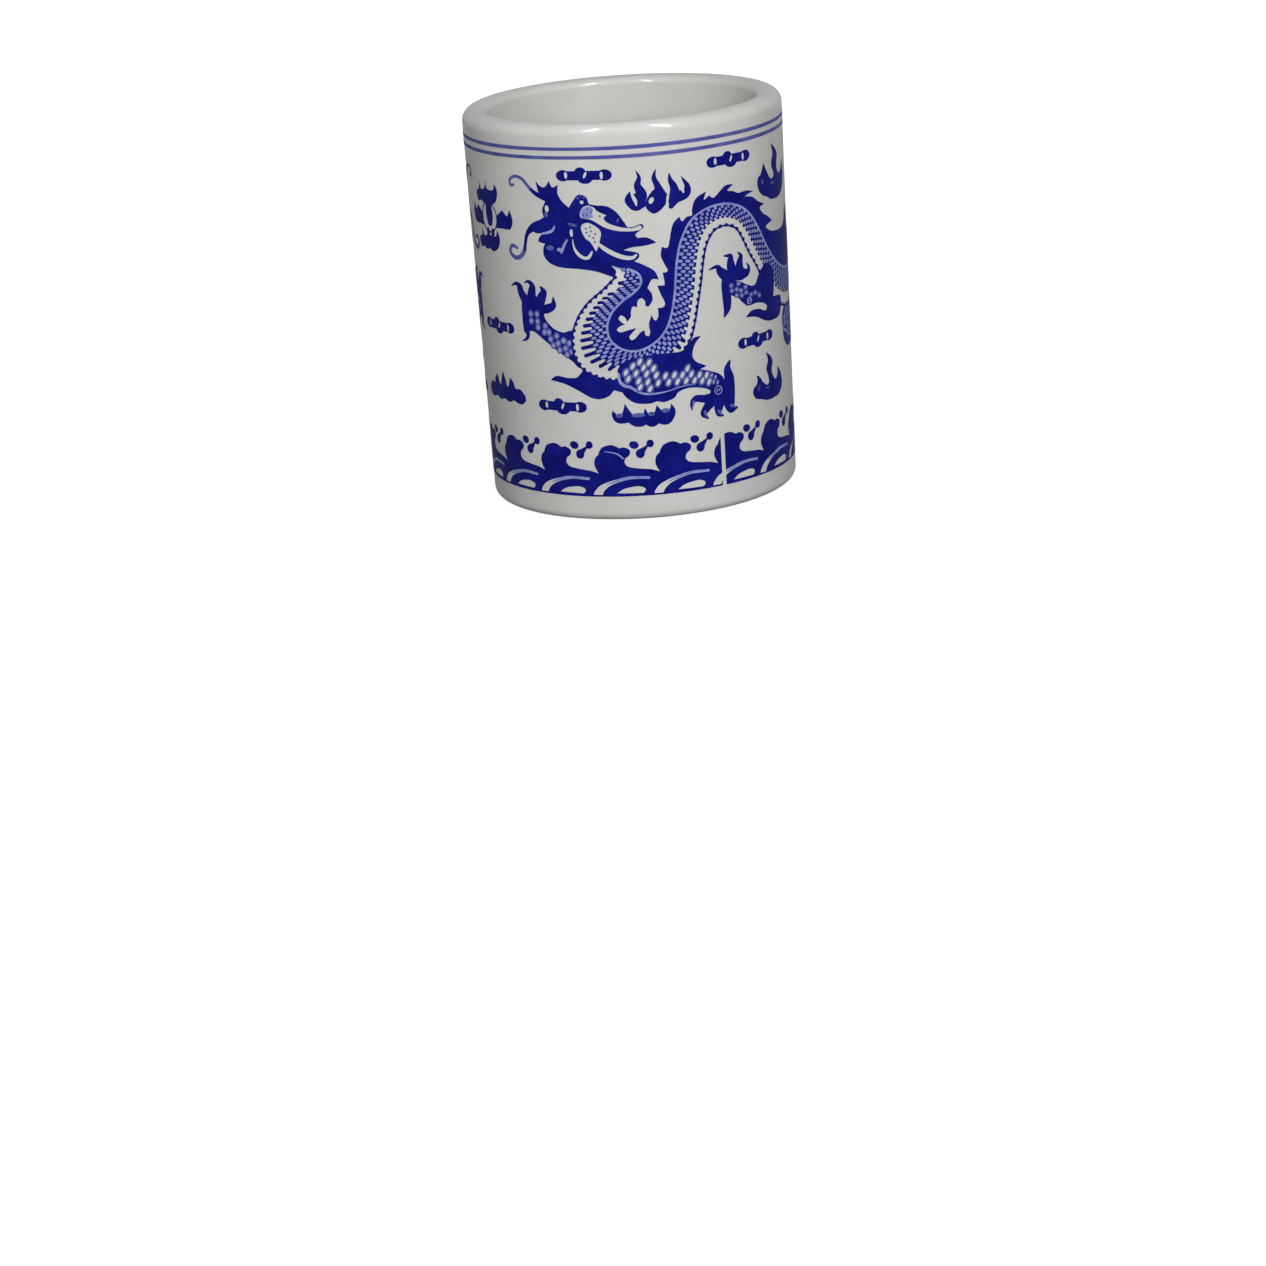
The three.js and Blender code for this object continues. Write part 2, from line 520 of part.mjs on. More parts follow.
const foreLeg = {
  outlines: [
    [[-16.4, 51.7], [-19.5, 51.5], [-22.2, 52.4], [-24.6, 54.8], [-25.6, 57.4], [-30.5, 57.4],
      [-31.2, 51.6], [-28.6, 51.1], [-25.2, 48.9], [-21.5, 46.3], [-17.6, 43.9], [-15.2, 42.0],
      [-12.5, 46]],
  ],
  strokes: [
    [[-31.3, 51.4, 1.1], [-31.3, 55, 1.2], [-30.5, 58.6, 1.7], [-28.4, 59.2, 1.9], [-26.2, 57.8, 1.6]],
    [[-30.4, 58.8, 1.6], [-32.2, 61.4, 1.2], [-32.6, 62.9, 1.0], [-33.9, 63.7, 0.5], [-35.7, 62.9, 0.15]],
    [[-28.8, 59.0, 1.8], [-28.4, 61.8, 1.3], [-28.1, 63.5, 0.9], [-29.2, 64.6, 0.5], [-30.5, 64.3, 0.2]],
    [[-26.6, 58.4, 1.7], [-25.1, 60.9, 1.3], [-24.5, 62.3, 0.9], [-25.5, 63.5, 0.2]],
    [[-25.8, 57.3, 1.2], [-23.4, 57.8, 1.2], [-21.8, 58.8, 0.9], [-21.7, 60.8, 0.2]],
    [[-31.3, 52.0, 1.0], [-30.9, 50.2, 0.6], [-31.5, 49.0, 0.45], [-33.1, 48.2, 0.15]],
  ],
};

const elbowFlame = [
  [-24.5, 38.3, 1], [-22.4, 39.6], [-19, 39.2], [-16.4, 39.5], [-14.6, 41.4, 1], [-11, 43], [-7, 44],
  [-3, 43], [-3.4, 37.4], [-4.2, 35.2, 1], [-6.6, 35.9, 1], [-8, 34.4], [-10.4, 33.6], [-13, 34.0],
  [-16.5, 35.9], [-20.5, 37.6],
];

const lowerLeg = {
  outlines: [
    [[-5.2, 40.5], [-4.6, 36], [-3.4, 33.8], [-1, 32.2], [2.4, 31.8], [4.6, 32.3, 1], [6.6, 31.9],
      [9.2, 32.7], [10.6, 34.2], [13.6, 34.9], [17.4, 34.3], [19.6, 33.2, 1], [19.4, 32.0], [22, 30.5],
      [24.8, 31.5], [24.2, 35.0], [22.6, 37.2], [19.8, 38.5], [16.9, 39.5, 1], [18.8, 40.1, 1],
      [16.0, 41.6], [14.9, 43.2], [15.2, 45.2], [16.0, 46.8], [17.6, 48.4, 1], [15.4, 48.1], [13.6, 46.2],
      [11.4, 45.0], [6, 45], [-2, 44]],
  ],
  strokes: [
    [[26.0, 40.3, 0.25], [25.1, 38.2, 1.1], [25.6, 35.2, 1.6], [25.6, 31.5, 1.6], [25.2, 29.2, 1.8],
      [25.8, 27.2, 1.2], [27.9, 27.2, 0.2]],
    [[22.4, 30.6, 1.9], [21.7, 28.0, 1.3], [21.8, 26.5, 0.8], [23.1, 25.8, 0.2]],
    [[20.0, 30.6, 1.7], [18.2, 28.8, 1.2], [17.2, 27.2, 0.9], [18.5, 25.8, 0.2]],
    [[21.5, 31.2, 1.5], [17.8, 31.3, 1.1], [15.2, 31.7, 0.9], [14.0, 30.6, 0.6], [13.9, 28.8, 0.15]],
  ],
};

const hindLeg = {
  outlines: [
    [[27.2, 61.4], [30.6, 60.8], [33.4, 59.5], [36.4, 58.8], [39.2, 62.2], [43, 63.4], [46, 60], [45, 53],
      [43, 51.2], [40.2, 53], [37, 53.8], [33.4, 53.7], [31.4, 55.0], [29.8, 56.6], [27.6, 57.8]],
    [[32.4, 50.8, 1], [34.6, 52.1], [37.6, 52.0], [41, 51.0], [43, 53.4], [50, 53], [49, 48.2], [44, 47.6],
      [40.4, 48.3], [36.6, 50.0]],
  ],
  strokes: [
    [[25.0, 52.4, 0.3], [26.0, 54.6, 1.2], [26.1, 58, 1.5], [26.4, 61.5, 1.8], [28.2, 63.2, 2.0],
      [31.4, 62.8, 1.8]],
    [[26.6, 62.6, 1.6], [24.4, 64.6, 1.2], [23.4, 66.0, 0.6], [21.0, 65.6, 0.15]],
    [[28.2, 63.5, 1.8], [27.8, 66.4, 1.2], [27.8, 68.1, 0.7], [25.8, 68.5, 0.2]],
    [[30.6, 63.5, 1.7], [31.0, 66.0, 1.1], [31.5, 67.6, 0.6], [30.4, 68.7, 0.15]],
    [[31.2, 62.6, 1.5], [33.4, 62.7, 1.1], [34.3, 63.8, 0.6], [33.6, 65.2, 0.15]],
  ],
};

const hiddenLegPlace = [56, 6];
const hiddenLeg = shiftedMotif(lowerLeg, ...hiddenLegPlace);

const dragon = {
  outlines: [
    body, head, loopFin, backFin, elbowFlame, ...foreLeg.outlines, ...lowerLeg.outlines,
    ...hindLeg.outlines, ...hiddenLeg.outlines,
  ],
  strokes: [
    ...whiskers, ...tailTuft, ...foreLeg.strokes, ...lowerLeg.strokes, ...hindLeg.strokes,
    ...hiddenLeg.strokes,
  ],
};

// The small motifs that stand in the field of the right-hand dragon, and again in the other's
const fieldMotifs = {
  cloud_brow: [cloud, -10.6, 93.3],
  cloud_hump: [cloud, 29.3, 93.7],
  cloud_elbow: [cloud, -21.6, 31.3],
  cloud_haunch: [cloud, 36.6, 44.0],
  flame_mane: [flame, 8.2, 82.5],
  flame_back: [backFlame, 47.6, 79.7],
  flame_belly: [lowFlame, 0.6, 28.9],
  flame_haunch: [haunchFlame, 41.3, 26.4],
};

const axisMotifs = {
  flaming_pearl: [pearl, pearlAxis, 80.4],
  cloud_front: [cloud, pearlAxis, 51],
  flame_front: [axisFlame, pearlAxis, 33.5],
  flame_tails: [flame, tailAxis, 60],
  cloud_tails: [cloud, tailAxis, 93.5],
};

// One drop spray, about the middle of the gap between two crests
const spray = {
  strokes: [[[-0.4, 18.6, 0.9], [0.9, 19.9, 0.45], [2.3, 21.0, 0.8]], [[-2.0, 20.8, 0.8],
    [-0.6, 18.8, 0.5]]],
  ovals: [[-2.0, 20.8, 1.35, 1.0], [-0.5, 18.5, 1.3, 1.3], [2.3, 21.0, 1.05, 1.05]],
};

// One crest of the border, about its middle: its knobbed head from right to left, and two reserves under it
const crest = {
  bottom: 6.8,
  shoulder: 14.2,
  head: [
    [5.1, 14.7], [4.0, 15.2], [3.4, 16.1], [3.7, 17.3, 1], [4.7, 18.0], [5.1, 18.9], [4.7, 19.8],
    [3.4, 20.3], [2.2, 20.1, 1], [1.4, 20.6], [0.3, 21.0], [-1.0, 20.9], [-2.5, 20.3], [-3.3, 19.2],
    [-3.6, 18.4, 1], [-4.6, 17.3], [-4.9, 15.6], [-4.4, 14.2], [-3.8, 13.2, 1], [-6.0, 13.9],
  ],
  arc: [[-4.4, 8.2, 0.85], [-2.8, 9.5, 0.7], [0, 10.9, 0.5], [3, 11.9, 0.4], [6, 12.3, 0.35],
    [10.4, 11.8, 0.3]],
  lens: [[0.9, 7.7, 1], [2.6, 8.8], [5.6, 9.5], [8.2, 9.1], [8, 7.6, 1]],
};

// The swell runs from half a pitch before the crest to half a pitch after it.
function crestSolids(middle) {
  const half = crestPitch / 2;
  const feet = [[-half, crest.bottom, 1], [half, crest.bottom, 1]];
  const swell = [...feet, [half, crest.shoulder, 1], ...crest.head, [-half, crest.shoulder, 1]];
  return {
    swell: flat(outline(shifted(swell, middle, 0))),
    reserves: flat(stroke(shifted(crest.arc, middle, 0))).add(flat(outline(shifted(crest.lens, middle, 0)))),
  };
}

function waveBorder() {
  const crests = Array.from({ length: crestCount + 2 }, (_, i) => crestSolids(firstCrest + i * crestPitch));
  const swells = crests.map(({ swell }) => swell).reduce((all, next) => all.add(next));
  const reserves = crests.map(({ reserves }) => reserves).reduce((all, next) => all.add(next));
  const start = seamAt + seamGap / 2;
  const strip = flat(band(start, start + sheetWidth - seamGap));
  return mesh("wave_border", wrapped(swells.subtract(reserves).intersect(strip)), cobalt);
}

const pot = new THREE.Group();
pot.add(mesh("wall", wallGeometry(), porcelain));
pot.add(mesh("base", baseGeometry(), porcelain));

const decoration = new THREE.Group();
decoration.add(mesh("rim_line_upper", rimLineGeometry(upperLineDrop), cobalt));
decoration.add(mesh("rim_line_lower", rimLineGeometry(lowerLineDrop), cobalt));
decoration.add(waveBorder());
for (let i = 0; i < crestCount; i++) {
  const name = "spray_" + String(i + 1).padStart(2, "0");
  decoration.add(print(name, shiftedMotif(spray, firstCrest + (i + 0.5) * crestPitch, 0)));
}
decoration.add(print("dragon_right", dragon));
decoration.add(print("dragon_left", mirroredMotif(dragon)));
for (const [name, [motif, s, z]] of Object.entries(fieldMotifs)) {
  const placed = shiftedMotif(motif, s, z);
  decoration.add(print(name + "_right", placed));
  decoration.add(print(name + "_left", mirroredMotif(placed)));
}
for (const [name, [motif, s, z]] of Object.entries(axisMotifs)) {
  decoration.add(print(name, shiftedMotif(motif, s, z)));
}
pot.add(decoration);

export default pot;
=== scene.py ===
"""A blue-and-white porcelain brush pot: a glazed body with cobalt dragons, clouds, flames and waves."""

import math

import bpy
from mathutils import Matrix, Vector
from mathutils.geometry import delaunay_2d_cdt


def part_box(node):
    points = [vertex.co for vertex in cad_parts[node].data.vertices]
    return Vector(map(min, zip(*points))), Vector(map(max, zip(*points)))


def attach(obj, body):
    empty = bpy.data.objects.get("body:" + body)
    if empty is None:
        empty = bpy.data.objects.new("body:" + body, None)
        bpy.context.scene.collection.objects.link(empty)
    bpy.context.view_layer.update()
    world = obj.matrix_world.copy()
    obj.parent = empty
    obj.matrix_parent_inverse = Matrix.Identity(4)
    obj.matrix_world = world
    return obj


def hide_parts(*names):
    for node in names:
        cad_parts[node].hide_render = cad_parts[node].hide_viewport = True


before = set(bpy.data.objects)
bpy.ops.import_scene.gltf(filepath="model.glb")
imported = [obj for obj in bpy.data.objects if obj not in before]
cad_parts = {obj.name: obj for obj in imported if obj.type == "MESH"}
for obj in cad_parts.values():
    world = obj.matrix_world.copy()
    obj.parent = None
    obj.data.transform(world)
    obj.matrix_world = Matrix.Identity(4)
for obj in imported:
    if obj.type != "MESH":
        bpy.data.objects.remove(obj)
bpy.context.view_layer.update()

MM = 0.001


def box_mm(node):
    low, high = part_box(node)
    return low / MM, high / MM


# Sizes in millimetres. The frame gives the boxes of the pieces, and the rest repeats the CAD model.
HEIGHT = box_mm("wall")[1].z
RIM_RADIUS = box_mm("wall")[1].x
FLOOR_TOP = box_mm("base")[1].z
FOOT_RECESS = box_mm("base")[0].z
DISC_RADIUS = box_mm("base")[1].x
FOOT_INSET = 1.4
WALL_THICKNESS = 6.8
LIP_RISE = 3.4
LIP_FALL = 2.2
LIP_SHARE = 0.5
FOOT_ROUND = 2.3
FOOT_CHAMFER = 0.5
COVE_RADIUS = 3.2
SEAT_DEPTH = 2.6
SLIP_JOINT = 0.2
BARE_FOOT = 0.55  # the foot ring is unglazed up to this height
DISH = 0.25  # how far the floor and the underside are dished in the middle

WALL_TAPER = FOOT_INSET / (HEIGHT - LIP_RISE)
FOOT_RADIUS = RIM_RADIUS - FOOT_INSET

# The transfer sheet: its width makes one turn and its height reaches the crest of the lip.
SHEET_WIDTH = 264
SHEET_HEIGHT = 106.5
PEARL_AXIS = -43.5
TAIL_AXIS = PEARL_AXIS + SHEET_WIDTH / 2
CREST_COUNT = 16
CREST_PITCH = SHEET_WIDTH / CREST_COUNT
FIRST_CREST = 8
SEAM_AT = 22.4
SEAM_GAP = 1.2

# Fineness of the facets, of the profile and of the drawing.
SEGMENTS = 192
FACET = SHEET_WIDTH / SEGMENTS
FOOT_STEPS = 14
WALL_STEPS = 40
LIP_STEPS = 20
MOUTH_STEPS = 16
COVE_STEPS = 12
BASE_RINGS = 12
SHARP_ANGLE = 40
FINE_STEP = 0.4
OVAL_STEPS = 20
SMALL_OVAL = 0.6  # an oval narrower than this has half the steps
SAME_POINT = 0.0001

# How far the lower and the upper face of the ink stand off the wall.
INK_FOOT = 0.02
INK_TOP = 0.06

# The tones of the ink, and its material slots. The last one is no ink at all.
DARK, MID, PALE, BARE = range(4)

# Colours in sRGB from 0 to 255, and the stops of the colour ramps.
WHITE = (255, 255, 255)
FLOOR_GREY = (130, 130, 130)
# The floor's glow near the pot, dimmer than white: a painted shade round the pot's foot.
FLOOR_GLOW_SHADED_NEAR_POT = (242, 242, 242)
CLOUDING = (0.3, (203, 203, 199)), (0.7, (211, 211, 209))
IRON_SPECKS = (0.17, (150, 140, 120)), (0.2, WHITE)
CLAY = (0.3, (196, 184, 165)), (0.7, (214, 206, 191))
INK_GRAIN = (0.3, (205, 205, 222)), (0.6, WHITE)

COAT_ROUGHNESS = 0.04


def wall_radius(z):
    return FOOT_RADIUS + WALL_TAPER * z


def bore_radius(z):
    return wall_radius(z) - WALL_THICKNESS


def lerp(a, b, share):
    return a + (b - a) * share


def preset(node, values):
    """Sets sockets of a node to these values."""
    for socket, number in values.items():
        node.inputs[socket].default_value = number


class Look:
    """A node material round one Principled shader, with short names for the nodes that repeat."""

    def __init__(self, name, roughness, coat=0.6, specular=0.15):
        self.material = bpy.data.materials.new(name)
        self.material.use_nodes = True
        self.nodes = self.material.node_tree.nodes
        self.links = self.material.node_tree.links
        self.shader = self.nodes["Principled BSDF"]
        preset(self.shader, {"Roughness": roughness, "Specular IOR Level": specular})
        preset(self.shader, {"Coat Weight": coat, "Coat Roughness": COAT_ROUGHNESS})
        self.place = self.nodes.new("ShaderNodeTexCoord").outputs["Object"]

    def noise(self, size_mm, detail):
        node = self.nodes.new("ShaderNodeTexNoise")
        preset(node, {"Scale": 1 / (size_mm * MM), "Detail": detail})
        self.links.new(self.place, node.inputs["Vector"])
        return node.outputs["Fac"]

    def ramp(self, value, stops):
        node = self.nodes.new("ShaderNodeValToRGB")
        elements = node.color_ramp.elements
        while len(elements) < len(stops):
            elements.new(0.5)
        for element, (position, colour) in zip(elements, stops):
            element.position = position
            element.color = linear(colour)
        self.links.new(value, node.inputs["Fac"])
        return node.outputs["Color"]

    def tinted(self, share, first, second):
        node = self.nodes.new("ShaderNodeMix")
        node.data_type = "RGBA"
        node.blend_type = "MULTIPLY"
        preset(node, {"Factor": share})
        self.links.new(first, node.inputs["A"])
        self.links.new(second, node.inputs["B"])
        return node.outputs["Result"]

    def bump(self, value, height_mm, strength):
        node = self.nodes.new("ShaderNodeBump")
        preset(node, {"Strength": strength, "Distance": height_mm * MM})
        self.links.new(value, node.inputs["Height"])
        return node.outputs["Normal"]

    def wire(self, output, socket):
        self.links.new(output, self.shader.inputs[socket])

    def ripple(self):
        """The slight waves of the glaze, in its coat as well."""
        waves = self.bump(self.noise(9, detail=1), 0.02, 0.35)
        self.wire(waves, "Normal")
        self.wire(waves, "Coat Normal")


def linear(colour):
    """A colour in sRGB from 0 to 255, as a socket's four linear values."""
    parts = [part / 255 for part in colour]
    return [p / 12.92 if p <= 0.04045 else ((p + 0.055) / 1.055) ** 2.4 for p in parts] + [1.0]


def glaze():
    """White porcelain under a clear glaze, with faint clouding and a few specks of iron."""
    look = Look("glazed_porcelain", roughness=0.3)
    clouding = look.ramp(look.noise(14, detail=3), CLOUDING)
    specks = look.ramp(look.noise(0.8, detail=2), IRON_SPECKS)
    look.wire(look.tinted(0.5, clouding, specks), "Base Color")
    look.ripple()
    return look.material


def biscuit():
    """The unglazed foot ring: fired clay, slightly warm and sandy."""
    look = Look("bare_foot", roughness=0.75, coat=0.0)
    look.wire(look.ramp(look.noise(1.2, detail=5), CLAY), "Base Color")
    look.wire(look.bump(look.noise(0.35, detail=4), 0.05, 0.5), "Normal")
    return look.material


def cobalt(name, thin, full):
    """Cobalt under the glaze, darker where the ink lies thick."""
    look = Look(name, roughness=0.3, coat=0.3, specular=0.0)
    wash = look.ramp(look.noise(5, detail=4), [(0.32, full), (0.68, thin)])
    grain = look.ramp(look.noise(0.5, detail=3), INK_GRAIN)
    look.wire(look.tinted(0.6, wash, grain), "Base Color")
    look.ripple()
    return look.material


GLAZE = glaze()
BISCUIT = biscuit()
INKS = [
    cobalt("cobalt_dark", thin=(17, 25, 132), full=(7, 11, 108)),
    cobalt("cobalt_mid", thin=(98, 106, 170), full=(74, 82, 154)),
    cobalt("cobalt_pale", thin=(158, 166, 212), full=(124, 134, 194)),
]


def new_object(name, data):
    """A new object, linked into the scene."""
    made = bpy.data.objects.new(name, data)
    bpy.context.collection.objects.link(made)
    return made


def add_piece(name, points, faces, materials, slots=None, normals=None):
    """A mesh object from points in millimetres, which rides on the pot's one body."""
    mesh = bpy.data.meshes.new(name)
    mesh.from_pydata([Vector(p) * MM for p in points], [], faces)
    for material in materials:
        mesh.materials.append(material)
    if slots:
        mesh.polygons.foreach_set("material_index", slots)
    mesh.polygons.foreach_set("use_smooth", [True] * len(faces))
    mesh.update()
    if normals:
        mesh.normals_split_custom_set_from_vertices(normals)
    piece = new_object(name, mesh)
    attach(piece, "root")
    return piece


def sharpen(piece):
    """Keeps the edges crisp where the surface turns sharply."""
    piece.data.set_sharp_from_angle(angle=math.radians(SHARP_ANGLE))


def quarter(centre, radii, start, end, steps):
    """Points on a quarter of an ellipse, from one angle to another, in degrees."""
    angles = [math.radians(lerp(start, end, i / steps)) for i in range(steps + 1)]
    return [(centre[0] + radii[0] * math.cos(a), centre[1] + radii[1] * math.sin(a)) for a in angles]


def straight(start, end, steps):
    return [tuple(lerp(a, b, i / steps) for a, b in zip(start, end)) for i in range(1, steps)]


def turned(name, profile, closed, slot_of=lambda height: 0, materials=(GLAZE,)):
    """A body of revolution. The profile of (radius, height) is closed or runs from axis to axis."""
    points = []
    rings = []
    for radius, height in profile:
        if radius == 0:
            rings.append([len(points)] * SEGMENTS)
            points.append((0, 0, height))
            continue
        rings.append(list(range(len(points), len(points) + SEGMENTS)))
        for k in range(SEGMENTS):
            angle = 2 * math.pi * k / SEGMENTS
            points.append((radius * math.sin(angle), -radius * math.cos(angle), height))
    faces = []
    slots = []
    last = len(rings) if closed else len(rings) - 1
    for i in range(last):
        low, high = rings[i], rings[(i + 1) % len(rings)]
        middle = (profile[i][1] + profile[(i + 1) % len(rings)][1]) / 2
        for k in range(SEGMENTS):
            after = (k + 1) % SEGMENTS
            faces.append(list(dict.fromkeys([low[k], low[after], high[after], high[k]])))
            slots.append(slot_of(middle))
    piece = add_piece(name, points, faces, materials, slots)
    return piece


def make_wall():
    """The wall with its rolled lip and its foot ring."""
    crest_radius = RIM_RADIUS - WALL_THICKNESS * LIP_SHARE
    shoulder = HEIGHT - LIP_RISE
    mouth = HEIGHT - LIP_FALL
    cove_top = FLOOR_TOP + COVE_RADIUS
    ledge_radius = bore_radius(cove_top) - COVE_RADIUS
    rebate_radius = DISC_RADIUS + SLIP_JOINT
    seat_top = FLOOR_TOP - SEAT_DEPTH
    outer_foot = wall_radius(FOOT_ROUND)
    inner = bore_radius(mouth)
    profile = [
        (rebate_radius + FOOT_CHAMFER, 0),
        *quarter((outer_foot - FOOT_ROUND, FOOT_ROUND), (FOOT_ROUND, FOOT_ROUND), -90, 0, FOOT_STEPS),
        *straight((outer_foot, FOOT_ROUND), (RIM_RADIUS, shoulder), WALL_STEPS),
        *quarter((crest_radius, shoulder), (RIM_RADIUS - crest_radius, LIP_RISE), 0, 90, LIP_STEPS),
        *quarter((crest_radius, mouth), (crest_radius - inner, LIP_FALL), 90, 180, MOUTH_STEPS)[1:],
        *straight((inner, mouth), (bore_radius(cove_top), cove_top), WALL_STEPS),
        *quarter((ledge_radius, cove_top), (COVE_RADIUS, COVE_RADIUS), 0, -90, COVE_STEPS),
        (ledge_radius, seat_top),
        (rebate_radius, seat_top),
        (rebate_radius, FOOT_CHAMFER),
    ]
    piece = turned("cup_wall", profile, True, lambda height: int(height < BARE_FOOT), (GLAZE, BISCUIT))
    sharpen(piece)
    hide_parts("wall")


def make_base():
    """The floor of the pot and its glazed underside. Its pad fills the ledge, so no joint shows."""
    pad_radius = bore_radius(FLOOR_TOP + COVE_RADIUS) - COVE_RADIUS
    seat_top = FLOOR_TOP - SEAT_DEPTH - SLIP_JOINT
    rings = [(k, DISH * (1 - (k / BASE_RINGS) ** 2)) for k in range(1, BASE_RINGS)]
    profile = [
        (0, FOOT_RECESS + DISH),
        *[(DISC_RADIUS * k / BASE_RINGS, FOOT_RECESS + depth) for k, depth in rings],
        (DISC_RADIUS, FOOT_RECESS),
        (DISC_RADIUS, seat_top),
        (pad_radius, seat_top),
        (pad_radius, FLOOR_TOP),
        *[(pad_radius * k / BASE_RINGS, FLOOR_TOP - depth) for k, depth in reversed(rings)],
        (0, FLOOR_TOP - DISH),
    ]
    piece = turned("cup_base", profile, False)
    sharpen(piece)
    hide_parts("base")


def on_wall(s, z, lift):
    """The place of a point of the sheet, this far off the wall's facet."""
    facet = math.floor(s / FACET)
    share = s / FACET - facet
    start, end = (2 * math.pi * k / SEGMENTS for k in (facet, facet + 1))
    height = z * HEIGHT / SHEET_HEIGHT
    radius = wall_radius(height) + lift
    sine, cosine = (lerp(wave(start), wave(end), share) for wave in (math.sin, math.cos))
    return radius * sine, -radius * cosine, height


def off_wall(s):
    """The direction straight out of the wall."""
    angle = 2 * math.pi * s / SHEET_WIDTH
    return Vector((math.sin(angle), -math.cos(angle), -WALL_TAPER)).normalized()


def area(polygon):
    """The area of a polygon, negative if it runs clockwise."""
    ring = zip(polygon, polygon[1:] + polygon[:1])
    return sum(a[0] * b[1] - b[0] * a[1] for a, b in ring) / 2


def divided(layers):
    """Cuts the sheet along the outlines and the wall's facets, into points and triangles with tones."""
    points = []
    faces = []
    for polygon, _ in layers:
        ring = polygon if area(polygon) > 0 else polygon[::-1]
        faces.append(list(range(len(points), len(points) + len(ring))))
        points += ring
    alongs, ups = [p[0] for p in points], [p[1] for p in points]
    first, last = math.floor(min(alongs) / FACET), math.ceil(max(alongs) / FACET)
    low, high = min(ups) - FACET, max(ups) + FACET
    edges = []
    for k in range(first, last + 1):
        edges.append((len(points), len(points) + 1))
        points += [(k * FACET, low), (k * FACET, high)]
    flat = [Vector(p[:2]) for p in points]
    verts, _, triangles, _, _, sources = delaunay_2d_cdt(flat, edges, faces, 0, SAME_POINT)
    tones = [layers[max(source)][1] if source else BARE for source in sources]
    return verts, [(triangle, tone) for triangle, tone in zip(triangles, tones) if tone != BARE]


def make_print(name, nodes, layers):
    """A thin closed skin of ink over the wall. A later layer lies over an earlier one."""
    verts, inked = divided(layers)
    used = sorted({v for triangle, _ in inked for v in triangle})
    place = {v: i for i, v in enumerate(used)}
    count = len(used)
    sheet = [verts[v] for v in used]
    points = [on_wall(s, z, INK_TOP) for s, z in sheet] + [on_wall(s, z, INK_FOOT) for s, z in sheet]
    normals = [off_wall(s) for s, _ in sheet] + [-off_wall(s) for s, _ in sheet]
    faces = []
    slots = []
    owners = {}
    for triangle, tone in inked:
        a, b, c = (place[v] for v in triangle)
        faces += [(a, b, c), (c + count, b + count, a + count)]
        slots += [tone, tone]
        for edge in ((a, b), (b, c), (c, a)):
            owners[edge] = tone
    for (a, b), tone in owners.items():
        if (b, a) not in owners:
            faces.append((a + count, b + count, b, a))
            slots.append(tone)
    piece = add_piece(name, points, faces, INKS, slots, normals)
    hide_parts(*nodes)


def bend(before, start, end, after, t):
    """A point on the smooth curve from start to end, in each of its numbers."""
    return [
        b + ((c - a) * t + (2 * a - 5 * b + 4 * c - d) * t**2 + (3 * b - a - 3 * c + d) * t**3) / 2
        for a, b, c, d in zip(before, start, end, after)
    ]


def outline(points):
    """A closed outline in fine steps, smooth but for its corners."""
    smooth = []
    for i, start in enumerate(points):
        end = points[(i + 1) % len(points)]
        before = start if len(start) > 2 else points[i - 1]
        after = end if len(end) > 2 else points[(i + 2) % len(points)]
        steps = max(1, round(math.dist(start[:2], end[:2]) / FINE_STEP))
        smooth += [bend(before, start[:2], end, after, k / steps) for k in range(steps)]
    return smooth


def smooth_path(points, steps=None):
    """The open smooth curve through the points, in fine steps or in this many for each span."""
    path = []
    last = len(points) - 1
    for i in range(last):
        run = [points[k] for k in (max(i - 1, 0), i, i + 1, min(i + 2, last))]
        count = steps or max(1, math.ceil(math.dist(run[1][:2], run[2][:2]) / FINE_STEP))
        path += [bend(*run, k / count) for k in range(count)]
    return path + [list(points[-1])]


def stroke(points):
    """A ribbon with round ends, as a chain of four-sided pieces, with an oval where one folds over."""
    path = smooth_path(points)
    rims = []
    for i, (s, z, half) in enumerate(path):
        ahead, behind = path[min(i + 1, len(path) - 1)], path[max(i - 1, 0)]
        way = Vector((ahead[0] - behind[0], ahead[1] - behind[1])).normalized() * half
        rims.append(((s - way.y, z + way.x), (s + way.y, z - way.x)))
    pieces = []
    for (a, b), (d, c), middle in zip(rims, rims[1:], path):
        is_folded = min(area([a, b, c]), area([a, c, d])) <= 0
        pieces.append(oval(*middle) if is_folded else [a, b, c, d])
    return [oval(*path[0]), *pieces, oval(*path[-1])]


def oval(s, z, wide, high=None, lean=0):
    """An ellipse of these half sizes, turned by a lean in degrees."""
    high = high or wide
    cosine, sine = math.cos(math.radians(lean)), math.sin(math.radians(lean))
    steps = OVAL_STEPS // 2 if wide < SMALL_OVAL else OVAL_STEPS
    ring = []
    for k in range(steps):
        a = 2 * math.pi * k / steps
        x, y = wide * math.cos(a), high * math.sin(a)
        ring.append((s + x * cosine - y * sine, z + x * sine + y * cosine))
    return ring


def ink(tone, outlines=(), strokes=(), ovals=()):
    """Layers of one tone, each a closed polygon with that tone."""
    polygons = [outline(points) for points in outlines]
    for points in strokes:
        polygons += stroke(points)
    polygons += [oval(*numbers) for numbers in ovals]
    return [(polygon, tone) for polygon in polygons]


def shifted(layers, ds, dz):
    return [([(p[0] + ds, p[1] + dz) for p in polygon], tone) for polygon, tone in layers]


def mirrored(layers):
    return [([(2 * PEARL_AXIS - p[0], p[1]) for p in polygon], tone) for polygon, tone in layers]


# The drawing, in millimetres on the transfer sheet. An outline holds [along, up], and a third value at
# a corner. A stroke holds [along, up, half width]. An oval holds its centre, half sizes and lean.

# The cloud scroll, about its own centre: the ink, then the lights in it.
CLOUD = {
    "strokes": [[[-5.2, 0, 1.2], [0, 0, 1.25], [5.2, 0, 1.2]]],
    "ovals": [[-5.6, 0, 1.9, 1.5], [5.4, 0, 1.9, 1.5], [-0.9, 0.9, 1.5, 1.3], [0.3, -1, 1.9, 1.2]],
}

CLOUD_LIGHTS = [[-4.8, 0.1, 0.45, 0.9], [0.3, 0.1, 0.35, 0.95, -25], [4.6, -0.1, 0.42, 1]]

